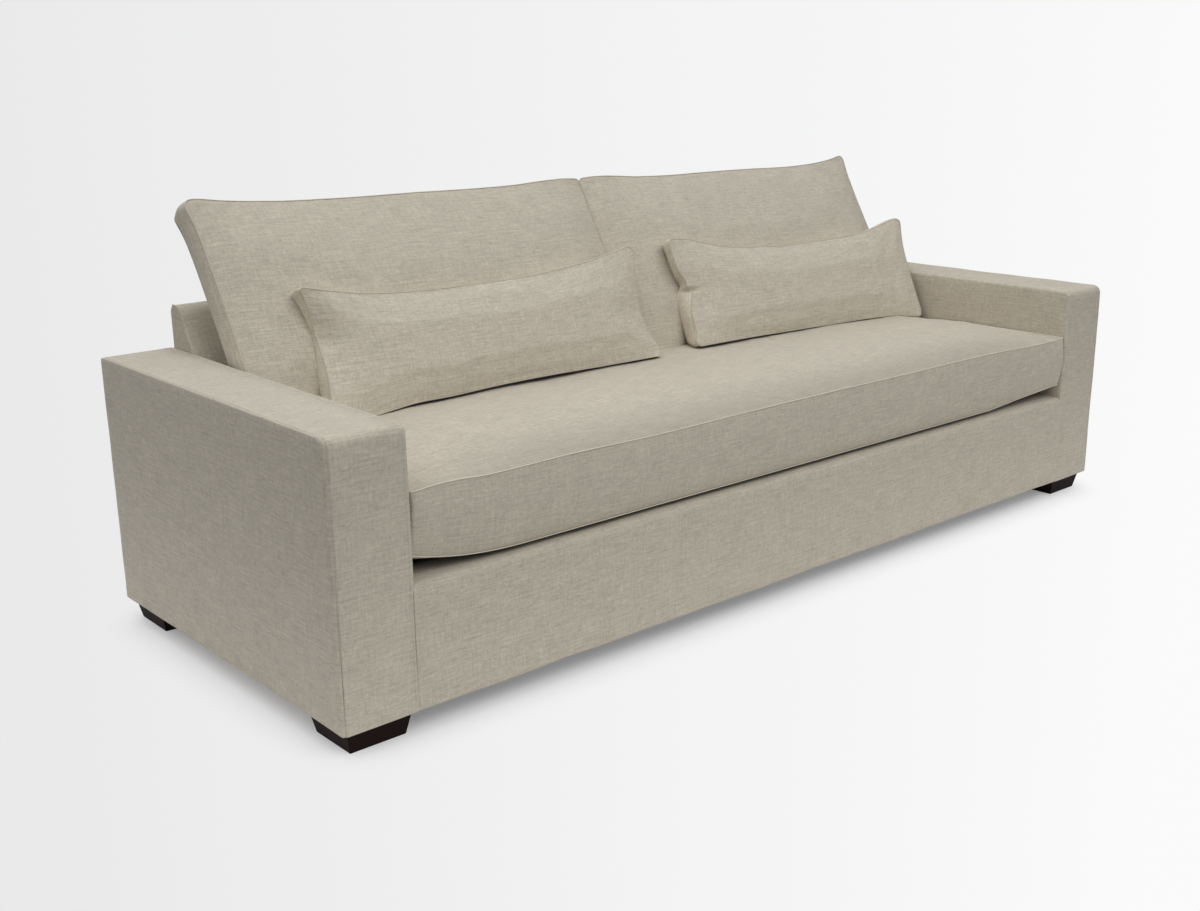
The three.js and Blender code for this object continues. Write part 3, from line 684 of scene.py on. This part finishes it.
def build_back():
    z_knee = BACK_HEIGHT - (BACK - BACK_TOP - BACK_FACE) / math.tan(RECLINE)
    front_top = BACK - BACK_TOP
    top_radius = 0.026
    outline = rounded_outline(
        [
            (BACK, GROUND),
            (BACK, BACK_HEIGHT),
            (front_top, BACK_HEIGHT),
            (BACK_FACE, z_knee),
            (BACK_FACE, DECK + GAP),
            (BACK - SKIN, DECK + GAP),
            (BACK - SKIN, GROUND + FOLD),
            (BACK - HEM, GROUND + FOLD),
            (BACK - HEM, GROUND),
        ],
        {0: 0.006, 1: 0.012, 2: top_radius},
    )
    half = INNER - 0.0004
    edge = bend(0.005)
    sweep("back_upholstery", outline, -half, half, edge, edge, ["back_cover"], 41)
    rake = np.array([math.sin(RECLINE), math.cos(RECLINE)])
    for side, sign in (("left", -1), ("right", 1)):
        x = sign * (half - 0.0022)
        foot = np.array([BACK_FACE, z_knee]) + rake * 0.02
        corner = np.array([front_top, BACK_HEIGHT])
        enter, leave = corner - rake * top_radius, corner + np.array([top_radius, 0.0])
        slope = [foot + (enter - foot) * f for f in np.linspace(0, 1, 24)]
        slope += turn(enter, corner, leave, np.linspace(0, 1, 10)[1:])
        slope += [leave + np.array([0.008, 0.0]) * f for f in np.linspace(0, 1, 4)[1:]]
        slope = [(x, *point) for point in slope]
        out = np.tile((sign, -0.5, 0.7), (len(slope), 1))
        tube(f"back_end_seam_{side}", slope, 0.0015, "frame", out)
        heights = np.linspace(GROUND + 0.01, BACK_HEIGHT - 0.012, 50)
        rear = [(sign * (half - 0.0015), BACK - 0.0015, z) for z in heights]
        out = np.tile((sign, 1.0, 0.0), (len(rear), 1))
        tube(f"back_rear_seam_{side}", rear, 0.0012, "frame", out)
    inset = 0.0035
    along = np.linspace(-half + 0.006, half - 0.006, 160)
    rear_top = [(x, BACK - inset, BACK_HEIGHT - inset) for x in along]
    out = np.tile((0.0, 1.0, 1.0), (len(rear_top), 1))
    tube("back_top_seam", rear_top, 0.0013, "frame", out)


def build_feet():
    top, bottom, high = FOOT_TOP / 2, FOOT_BOTTOM / 2, GROUND - GAP
    middle_x = HALF - FOOT_SETBACK - bottom
    middle_y = BACK - FOOT_SETBACK - bottom
    for side, sx in (("left", -1), ("right", 1)):
        for end, sy in (("front", -1), ("back", 1)):
            work = bmesh.new()
            rings = [
                [work.verts.new((sx * middle_x + a * w, sy * middle_y + b * w, z)) for a, b in CORNERS]
                for w, z in ((bottom, 0.0), (top, high))
            ]
            work.faces.new(rings[0][::-1])
            work.faces.new(rings[1])
            for i in range(4):
                j = (i + 1) % 4
                work.faces.new([rings[0][i], rings[0][j], rings[1][j], rings[1][i]])
            edges = list(work.edges)
            bmesh.ops.bevel(work, geom=edges, offset=FOOT_EDGE, segments=3, profile=0.5, affect="EDGES")
            mesh = bpy.data.meshes.new(f"foot_{end}_{side}")
            work.to_mesh(mesh)
            work.free()
            mesh.materials.append(espresso)
            block = bpy.data.objects.new(f"wood_foot_{end}_{side}", mesh)
            register(block, "frame", [f"foot_{end}_{side}"])


# ---- Cushions

# A cushion's places run from -1 to 1: s from its left end to its right, t from its bottom edge to its top and
# w from its rear seam to its front one. The seat cushion lies, so its t runs backwards and its w upwards.


def swell(value, power):
    """One in the middle and zero at both ends."""
    return 1 - np.abs(value) ** power


def near(value, middle, width):
    """One at a place and falling off to zero around it."""
    return np.exp(-(((value - middle) / width) ** 2))


def table(t, *pairs):
    """A smooth curve through pairs of a place and a value, read off at t."""
    places, values = np.array(pairs).T
    slopes = np.gradient(values, places)
    i = np.clip(np.searchsorted(places, t) - 1, 0, len(places) - 2)
    span = places[i + 1] - places[i]
    f = np.clip((t - places[i]) / span, 0, 1)
    ease = f * f * (3 - 2 * f)
    start, end = f * (1 - f) ** 2 * slopes[i], f * f * (1 - f) * slopes[i + 1]
    return values[i] + (values[i + 1] - values[i]) * ease + (start - end) * span


def seat_place(s, t, w):
    """The seat cushion: crowned, and with its lower front seam lifted at both ends."""
    depth = (t + 1) / 2
    x = s * (SEAT_HALF - 0.005 * swell(t, 2))
    crown_end = REST_Y - PILLOW_BAND - PILLOW_CROWN - FRONT
    crowned = np.minimum(depth * (SEAT_BACK - FRONT) / crown_end, 1)
    rise = SEAT_PLATEAU * (1 - (1 - depth) ** 4) + SEAT_CROWN * np.sin(math.pi * crowned)
    rear = np.clip((depth - 0.45) / 0.25, 0, 1)
    sunk = 0.010 * near(s, 1, 0.07) * rear + 0.010 * near(s, -1, 0.42) * rear
    lip = (1 - depth) ** 12
    seam = table(
        s,
        *((-1, 0.0), (-0.96, 0.004), (-0.91, 0.0045), (-0.84, 0.0), (-0.8, 0.0), (-0.65, 0.002)),
        *((-0.44, -0.001), (-0.2, 0.002), (0.3, 0.0025), (0.7, 0.002), (0.91, -0.003), (1, -0.002)),
    )
    top = SEAT_SEAM + rise * swell(s, 8) - sunk + seam * lip
    turned = np.where(
        s < 0,
        0.036 * np.clip((-s - 0.75) / 0.25, 0, 1) ** 2.2,
        0.028 * np.clip((s - 0.70) / 0.30, 0, 1) ** 1.2,
    )
    bottom = (0.011 + turned) * lip + 0.014 * np.abs(s) ** 14 * (1 - lip)
    setback = 0.006 + (0.020 - 0.015 * near(s, 1, 0.12)) * (1 - w) / 2 - 0.009 * (1 - w * w)
    y = FRONT + setback + (SEAT_BACK - FRONT - setback) * depth
    return np.stack([x, y, DECK + GAP + bottom + (top - bottom) * (w + 1) / 2], -1)


def leaning(x0, y0, recline, x, y, z):
    """Points of a leaning frame, x across, y up, z out of the front, as points of the sofa."""
    c, s = math.cos(recline), math.sin(recline)
    return np.stack([x0 + x, y0 + y * s - z * c, REST_Z + y * c + z * s], -1)


# How far the top edge of the left and of the right back cushion rises, from its left end to its right.
CUSHION_TOPS = {
    -1: (
        *((-1, 0.020), (-0.931, 0.0194), (-0.87, 0.0149), (-0.809, 0.0106), (-0.68, 0.0054)),
        *((-0.55, 0.0013), (-0.4, 0.0), (0.0, 0.0), (0.44, 0.0), (0.62, 0.0021)),
        *((0.71, 0.0052), (0.8, 0.0078), (0.9, 0.0095), (1, 0.007)),
    ),
    1: (
        *((-1, 0.007), (-0.92, 0.0102), (-0.83, 0.0099), (-0.73, 0.0062), (-0.63, 0.0019)),
        *((-0.53, 0.0), (-0.43, -0.0013), (-0.2, 0.0), (0.0, 0.0005), (0.25, 0.0)),
        *((0.45, -0.0014), (0.62, 0.0004), (0.757, 0.0051), (0.9, 0.0149), (1, 0.026)),
    ),
}


def back_place(x0, arm_side):
    """A back cushion: full in front, but behind the pillow, and filling the space to the back."""
    level = math.tan(RECLINE)
    pinch = math.tan(RECLINE - PILLOW_RECLINE)
    start = PILLOW_FORWARD * math.cos(PILLOW_RECLINE) / math.cos(RECLINE - PILLOW_RECLINE)

    def place(s, t, w):
        up = (t + 1) / 2
        at_arm = s * arm_side > 0
        top = CUSHION_HEIGHT + 0.0025 + table(s, *CUSHION_TOPS[arm_side])
        swollen = CUSHION_CROWN * swell(s, 4) * swell(t, 3)
        leaned = (up * top * pinch + start - 2 * GAP) / (1 + level * pinch * (1 - up))
        front = np.minimum(swollen, leaned)
        rear = -CUSHION_BAND - CUSHION_FILL * swell(s, 4) * (1 - up**5)
        z = rear + (front - rear) * (w + 1) / 2
        bulge = 1 - w * w
        base = -z * level
        beside_arm = CUSHION_WIDTH / 2 - 0.008 * swell(t, 3) + 0.006 * near(t, 1, 0.18)
        beside_arm = beside_arm + 0.005 * (bulge - 0.2)
        beside_other = CUSHION_WIDTH / 2 + 0.0015 - 0.0006 * bulge
        x = s * np.where(at_arm, beside_arm, beside_other)
        y = base + (top + 0.004 * bulge * up - base) * up
        return leaning(x0, REST_Y, RECLINE, x, y, z)

    return place


def pillow_place(x0, ears, crumple):
    """A lumbar pillow with its two top corners' rise and that rise's power, and with its own creases."""
    level = math.tan(PILLOW_RECLINE)

    def place(s, t, w):
        up = (t + 1) / 2
        front = PILLOW_BAND + PILLOW_FULLNESS * PILLOW_CROWN * swell(s, 4) * swell(t, 3)
        z = front * (w + 1) / 2
        bulge = 1 - w * w
        base = -np.minimum(z * level, PILLOW_FOOT)
        (left_rise, left_power), (right_rise, right_power) = ears
        rise = np.where(s < 0, left_rise, right_rise)
        power = np.where(s < 0, left_power, right_power)
        top = PILLOW_HEIGHT - PILLOW_FOOT + rise * np.abs(s) ** power + 0.004 * bulge
        x = s * (PILLOW_WIDTH / 2 - 0.020 * swell(t, 2) + 0.004 * bulge)
        y = base + (top - base) * up
        x, y, z = crumple(s, t, w, x, y, z)
        return leaning(x0, PILLOW_Y, PILLOW_RECLINE, x, y, z)

    return place


def crumple_left(s, t, w, x, y, z):
    """The left pillow: its outer end's boxing folds back, and its inner end bows in low down."""
    front = (w + 1) / 2
    outer, inner = near(s, -1, 0.08), near(s, 1, 0.15)
    drawn = table(
        t,
        *((-1, 0.007), (-0.65, 0.012), (-0.4, 0.011), (-0.1, 0.006)),
        *((0.2, 0.0015), (0.45, 0.002), (0.8, 0.004), (1, 0.007)),
    )
    x = x - outer * drawn
    z = z - 0.030 * near(s, -1, 0.07) * near(t, 0.25, 0.5) * front
    bow = table(
        t,
        *((-1, 0.004), (-0.73, 0.013), (-0.45, 0.018), (-0.18, 0.015)),
        *((0.1, 0.010), (0.4, 0.004), (0.7, 0.0)),
    )
    low = near(t, -1, 0.5) * front
    lift = table(
        s,
        *((-1, -0.024), (-0.85, -0.019), (-0.72, -0.012), (-0.6, -0.007), (-0.4, -0.006), (-0.2, -0.003)),
        *((0, -0.001), (0.25, -0.001), (0.5, -0.002), (0.8, -0.003), (1, -0.004)),
    )
    tuck = table(
        t,
        *((-1, 0.006), (-0.65, 0.006), (-0.4, 0.002), (-0.1, 0.002)),
        *((0.2, 0.006), (0.45, 0.007), (0.8, 0.007), (1, 0.006)),
    )
    z = z + 0.013 * low - (0.008 + 0.006 * near(t, 0.9, 0.7)) * near(s, -1, 0.16) * (1 - front)
    x = x + tuck * near(s, -1, 0.06) * (1 - front)
    x = x - 0.016 * near(s, -1, 0.09) * near(t, -1, 0.35) * front
    return x - inner * bow, y + (lift - 0.0025) * low, z


def crumple_right(s, t, w, x, y, z):
    """The right pillow: its inner end is folded across, and its outer end is full and leans out."""
    front, rear = (w + 1) / 2, (1 - w) / 2
    inner, outer = near(s, -1, 0.06), near(s, 1, 0.13)
    seam = table(
        t,
        *((-1, -0.006), (-0.9, -0.006), (-0.7, 0.0), (-0.4, 0.0), (-0.15, 0.010), (-0.02, 0.020)),
        *((0.04, 0.024), (0.08, 0.012), (0.2, 0.010), (0.4, -0.002), (0.8, 0.0), (1, 0.007)),
    )
    boxing = table(
        t,
        *((-1, 0.020), (-0.66, 0.009), (-0.23, 0.002), (-0.02, 0.003), (0.04, 0.006)),
        *((0.1, 0.019), (0.34, 0.018), (0.68, 0.020), (1, 0.026)),
    )
    x = x + inner * (seam * front + boxing * rear) + 0.008 * near(s, 1, 0.04)
    low = near(t, -1, 0.5)
    z = z + (0.021 - 0.013 * low) * outer * front + 0.013 * low * front
    z = z - (0.003 + 0.006 * near(s, -1, 0.03)) * near(s, -1, 0.13) * near(t, 0.06, 0.035) * front
    lift = table(
        s,
        *((-1, 0.0015), (-0.9, 0.0015), (-0.5, 0.0004), (0, -0.004), (0.4, -0.0076)),
        *((0.6, -0.011), (0.75, -0.015), (0.87, -0.024), (1, -0.035)),
    )
    x = x + near(s, 1, 0.05) * (0.008 * near(t, 1, 0.5) - 0.010 * low)
    y = y + 0.012 * near(s, -0.84, 0.16) * near(t, 1, 0.5)
    return x, y + (lift - 0.0025) * low * front, z


def spaced(count):
    """Places from -1 to 1, a little closer together near the ends."""
    ease = 0.45
    even = np.linspace(-1, 1, count + 1)
    return (1 - ease) * even + ease * np.sin(even * math.pi / 2)


def round_corners(s, t, half_x, half_y, radii):
    """Moves the places near the corners of a panel so that its outline turns on a radius."""
    radius = np.where(s < 0, radii[0], radii[1])
    px, py = s * half_x, t * half_y
    core_x = np.clip(px, radius - half_x, half_x - radius)
    core_y = np.clip(py, radius - half_y, half_y - radius)
    dx, dy = px - core_x, py - core_y
    length = np.hypot(dx, dy)
    shrink = np.where(length > 1e-9, np.maximum(abs(dx), abs(dy)) / np.maximum(length, 1e-9), 1.0)
    return (core_x + dx * shrink) / half_x, (core_y + dy * shrink) / half_y


def cushion(name, place, sizes, counts, corner, offset, cloth):
    """A boxed cushion, which is a body of its own: its object, its two seam rings of vertex numbers, and each
    vertex's place in it."""
    half_x, half_y, band = sizes
    nu, nv, nb = counts
    u, v = np.meshgrid(spaced(nu), spaced(nv))
    s, t = round_corners(u, v, half_x, half_y, corner)
    points = [place(s, t, side * np.ones_like(s)).reshape(-1, 3) for side in (1, -1)]
    size = s.size
    front = np.arange(size).reshape(s.shape)
    rear = front + size
    marks = np.stack([s * half_x + offset[0], t * half_y + offset[1]], -1)
    parts = [quads(front, marks), quads(rear, marks + REAR_UV, True)]
    loop = np.concatenate([front[0, :-1], front[:-1, -1], front[-1, :0:-1], front[:0:-1, 0]])
    ls, lt = s.ravel()[loop], t.ravel()[loop]
    rings = [loop]
    places = [np.stack([s.ravel(), t.ravel(), side * np.ones(size)], -1) for side in (1, -1)]
    eased, even = np.cos(np.linspace(0, math.pi, nb + 1)), np.linspace(1, -1, nb + 1)
    count = 2 * size
    for w in eased[1:-1] * 0.35 + even[1:-1] * 0.65:
        points.append(place(ls, lt, np.full(len(ls), w)))
        places.append(np.stack([ls, lt, np.full(len(ls), w)], -1))
        rings.append(np.arange(count, count + len(ls)))
        count += len(ls)
    rings.append(loop + size)
    ids = np.stack(rings)
    ids = np.concatenate([ids, ids[:, :1]], 1)
    points = np.concatenate(points)
    across = np.linspace(0, band, nb + 1)
    uvs = np.stack(np.meshgrid(run_length(points[loop]), across), -1) + np.array(offset) + BOXING_UV
    parts.append(quads(ids, uvs, True))
    nodes = [f"{name}_cover", f"{name}_core", f"{name}_zip"]
    piece = mesh_piece(f"{name}_linen", points, parts, name, cloth, nodes)
    return piece, (loop, loop + size), np.concatenate(places)


CLOTH = {
    "quality": 3,
    "mass": 0.3,
    "tension_stiffness": 18,
    "compression_stiffness": 18,
    "shear_stiffness": 6,
    "bending_stiffness": 0.8,
    "tension_damping": 12,
    "compression_damping": 12,
    "use_pressure": True,
    "uniform_pressure_force": 1.2,
    "pin_stiffness": 1.0,
}
CLOTH_FRAMES = 16


def relax(piece, pinned, puff, allowed):
    """Blows a cushion up a little against its seams and keeps the folds that this makes, up to a distance."""
    rest = coordinates(piece)
    group = piece.vertex_groups.new(name="seams")
    group.add([int(i) for i in pinned], 1.0, "REPLACE")
    modifier = piece.modifiers.new("cloth", "CLOTH")
    settings = modifier.settings
    for key, value in CLOTH.items():
        setattr(settings, key, value)
    settings.vertex_group_mass = "seams"
    settings.shrink_min = -puff
    settings.effector_weights.gravity = 0.0
    modifier.collision_settings.use_collision = False
    modifier.point_cache.frame_start = 1
    modifier.point_cache.frame_end = CLOTH_FRAMES
    scene = bpy.context.scene
    for step in range(1, CLOTH_FRAMES + 1):
        scene.frame_set(step)
    graph = bpy.context.evaluated_depsgraph_get()
    settled = piece.evaluated_get(graph)
    mesh = settled.to_mesh()
    moved = np.zeros(len(mesh.vertices) * 3, np.float32)
    mesh.vertices.foreach_get("co", moved)
    settled.to_mesh_clear()
    scene.frame_set(1)
    piece.modifiers.remove(modifier)
    piece.vertex_groups.clear()
    shift = moved.reshape(-1, 3) - rest
    length = np.linalg.norm(shift, axis=1)
    share = np.minimum(1.0, puff / np.maximum(length, 1e-9))
    set_coordinates(piece, rest + shift * (share * allowed)[:, None])


def finish_cushion(name, made, seed, puff, cloth, depth=0.0011):
    """Gives a cushion its folds, its slight unevenness and its two seams."""
    piece, rings, places = made
    s, t, w = places.T
    front = np.clip((w + 0.2) / 0.6, 0, 1)
    edge = np.clip((1 - np.maximum(abs(s), abs(t))) / 0.06, 0, 1)
    relax(piece, np.concatenate(rings), puff, front * 0.9)
    points = coordinates(piece)
    amount = depth * ripple(points, 0.24, seed) + 0.35 * depth * ripple(points, 0.07, seed + 5)
    set_coordinates(piece, points + normals(piece) * (amount * front * (0.3 + 0.7 * edge))[:, None])
    points = coordinates(piece)
    for label, ring, radius in (("front", rings[0], 0.0012), ("rear", rings[1], 0.0011)):
        out = normals(piece)[ring]
        tube(f"{name}_seam_{label}", points[ring], radius, name, out, closed=True, cloth=cloth)
    modifier = piece.modifiers.new("soft", "SUBSURF")
    modifier.levels = modifier.render_levels = 1


def build_cushions():
    """All five cushions, each with its half sizes and boxing width, its grid counts and its corner radii."""
    name = "seat_cushion"
    sizes = (SEAT_HALF, (SEAT_BACK - FRONT) / 2, 0.17)
    made = cushion(name, seat_place, sizes, (180, 64, 14), (0.010, 0.010), (0, 0), seat_linen)
    # The seat's seams carry the strongest painted highlight.
    finish_cushion(name, made, 101, 0.004, painted_highlight_seam, 0.0014)
    x = (CUSHION_WIDTH + 0.006) / 2
    sizes = (CUSHION_WIDTH / 2, CUSHION_HEIGHT / 2, CUSHION_BAND)
    for k, (side, sign) in enumerate((("left", -1), ("right", 1))):
        name = f"back_cushion_{side}"
        place, corners, offset = back_place(sign * x, sign), (0.010, 0.020)[::sign], (0.31 + k, 0.47)
        made = cushion(name, place, sizes, (110, 56, 8), corners, offset, cushion_linen)
        finish_cushion(name, made, 201 + 10 * k, 0.006, cushion_seam)
    sizes = (PILLOW_WIDTH / 2, (PILLOW_HEIGHT + 0.02) / 2, PILLOW_BAND)
    outer, inner = (0.042, 3.8), (0.050, 2.0)
    pillows = (
        ("left", LEFT_PILLOW_X, (outer, inner), crumple_left, (0.012, 0.024)),
        ("right", RIGHT_PILLOW_X, (inner, outer), crumple_right, (0.017, 0.030)),
    )
    for k, (side, x, ears, crumple, corners) in enumerate(pillows):
        name = f"lumbar_pillow_{side}"
        place, offset = pillow_place(x, ears, crumple), (0.83 + k, 2.1)
        made = cushion(name, place, sizes, (140, 64, 10), corners, offset, pillow_linen)
        finish_cushion(name, made, 301 + 10 * k, 0.003, pillow_seam, 0.0012)


# ---- Floor, light and camera

# The camera was fitted to corners measured in the photo. The photo's width, height, focal length and
# principal point are in its pixels.
CAMERA_AT = (-2.3034, -2.4257, 1.1713)
YAW = math.radians(42.968)
PITCH = math.radians(16.052)
PHOTO = (1200, 911)
FOCAL = 1379.2
PRINCIPAL = (657.89, 464.28)
SENSOR = 36.0

FLOOR_LOOK = 0.95  # the floor's own tone where it shows the shadow
FLOOR_GLOW = 0.23  # the share of the backdrop's tone there
FLOOR_BOUNCE = (0.95, 0.12)  # the floor's tone for bounced light, beside the sofa and far from it
WORLD_LIGHT = 0.35
LAMP_SIZE = 5.0
LAMP_AIM = (0.0, 0.0, 0.3)
# Each lamp's name, place and power.
LAMPS = (
    ("front", (0.0, -5.00, 5.25), 150.0),
    ("right_high", (2.96, 0.0, 6.64), 34.0),
    ("left_high", (-2.96, 0.0, 6.64), 104.0),
    ("behind", (0.0, 4.50, 5.66), 84.0),
    ("left_low", (-6.34, 0.0, 3.26), 10.0),
)


def backdrop_tone(tree, direction):
    """A pale tone that brightens from left to right, by direction from one fixed point."""
    across = (math.cos(YAW), -math.sin(YAW), 0)
    ahead = (math.sin(YAW), math.cos(YAW), 0)
    a = add(tree, "VectorMath", {0: direction, 1: across}, operation="DOT_PRODUCT").outputs["Value"]
    b = add(tree, "VectorMath", {0: direction, 1: ahead}, operation="DOT_PRODUCT").outputs["Value"]
    safe = add(tree, "Math", {0: b, 1: 0.05}, operation="MAXIMUM").outputs[0]
    slope = add(tree, "Math", {0: a, 1: safe}, operation="DIVIDE").outputs[0]
    level = add(tree, "MapRange", {0: slope, 1: -0.46, 2: 0.40, 3: 0.0, 4: 1.0}).outputs[0]
    return ramped(tree, level, (0.0, srgb(234, 234, 235)), (1.0, srgb(250, 250, 250)))


def seen_by_eye(tree):
    """One for what the eye sees straight on, in a mirror or through glass, and zero for other light."""
    path = add(tree, "LightPath").outputs
    first = add(tree, "Math", {0: path["Is Camera Ray"], 1: path["Is Glossy Ray"]}, operation="MAXIMUM")
    second = add(tree, "Math", {0: first.outputs[0], 1: path["Is Transmission Ray"]}, operation="MAXIMUM")
    return second.outputs[0]


def build_floor():
    """A floor that shows the backdrop's tone, but near the sofa its own shaded surface."""
    reach = 60.0
    mesh = bpy.data.meshes.new("floor")
    mesh.from_pydata([(a * reach, b * reach, 0) for a, b in CORNERS], [], [(0, 1, 2, 3)])
    floor = bpy.data.objects.new("floor", mesh)
    bpy.context.scene.collection.objects.link(floor)
    material, tree, out = shader("floor_sweep")
    own = (FLOOR_LOOK, FLOOR_LOOK, FLOOR_LOOK, 1.0)
    set_fixed(out, {"Base Color": own, "Roughness": 0.9, "Specular IOR Level": 0.0})
    place = add(tree, "NewGeometry").outputs["Position"]
    direction = add(tree, "VectorMath", {0: place, 1: CAMERA_AT}, operation="SUBTRACT").outputs[0]
    tone = backdrop_tone(tree, direction)
    both = add(tree, "VectorMath", {0: place}, operation="ABSOLUTE").outputs[0]
    past = add(tree, "VectorMath", {0: both, 1: (HALF - 0.1, BACK - 0.1, 0)}, operation="SUBTRACT").outputs[0]
    past = add(tree, "VectorMath", {0: past, 1: (0, 0, 0)}, operation="MAXIMUM").outputs[0]
    beside = add(tree, "VectorMath", {0: past}, operation="LENGTH").outputs["Value"]
    near_bounce, far_bounce = FLOOR_BOUNCE
    bounce = {0: beside, 1: 0.35, 2: 1.2, 3: near_bounce, 4: far_bounce}
    grey = add(tree, "MapRange", bounce).outputs[0]
    glow = add(tree, "Emission", {"Color": tone, "Strength": 1.0})
    fade = {0: beside, 1: 0.03, 2: 0.19, 3: FLOOR_GLOW, 4: 1.0}
    fade = add(tree, "MapRange", fade, interpolation_type="SMOOTHSTEP")
    look = add(tree, "MixShader", {0: fade.outputs[0], 1: out.outputs[0], 2: glow.outputs[0]})
    bounce = add(tree, "BsdfDiffuse", {"Color": grey})
    mix = add(tree, "MixShader", {0: seen_by_eye(tree), 1: bounce.outputs[0], 2: look.outputs[0]})
    tree.links.new(mix.outputs[0], tree.nodes["Material Output"].inputs["Surface"])
    mesh.materials.append(material)


def build_world():
    """An even studio light, with the backdrop's tone where it is seen."""
    world = bpy.data.worlds.new("studio")
    bpy.context.scene.world = world
    world.use_nodes = True
    tree = world.node_tree
    light = tree.nodes["Background"]
    set_fixed(light, {"Color": (0.96, 0.98, 1.0, 1.0), "Strength": WORLD_LIGHT})
    direction = add(tree, "TexCoord").outputs["Generated"]
    shown = add(tree, "Background", {"Color": backdrop_tone(tree, direction), "Strength": 1.0})
    mix = add(tree, "MixShader", {0: seen_by_eye(tree), 1: light.outputs[0], 2: shown.outputs[0]})
    tree.links.new(mix.outputs[0], tree.nodes["World Output"].inputs["Surface"])


def build_lights():
    for name, at, power in LAMPS:
        lamp = bpy.data.lights.new(name, "AREA")
        lamp.shape = "DISK"
        lamp.size = LAMP_SIZE
        lamp.energy = power
        held = bpy.data.objects.new(name, lamp)
        held.location = at
        held.rotation_euler = (Vector(LAMP_AIM) - Vector(at)).to_track_quat("-Z", "Y").to_euler()
        bpy.context.scene.collection.objects.link(held)


def build_camera():
    width, height = PHOTO
    lens = bpy.data.cameras.new("photo_view")
    lens.sensor_width = SENSOR
    lens.lens = SENSOR * FOCAL / width
    lens.shift_x = (width / 2 - PRINCIPAL[0]) / width
    lens.shift_y = (PRINCIPAL[1] - height / 2) / width
    held = bpy.data.objects.new("photo_view", lens)
    held.location = CAMERA_AT
    held.rotation_euler = (math.pi / 2 - PITCH, 0, -YAW)
    bpy.context.scene.collection.objects.link(held)
    bpy.context.scene.camera = held


dress_nodes()
build_camera()
for arm_side, arm_sign in (("left", -1), ("right", 1)):
    build_arm(arm_side, arm_sign)
build_border()
build_back()
build_feet()
build_cushions()
build_floor()
build_world()
build_lights()
bpy.context.scene.view_settings.view_transform = "Standard"
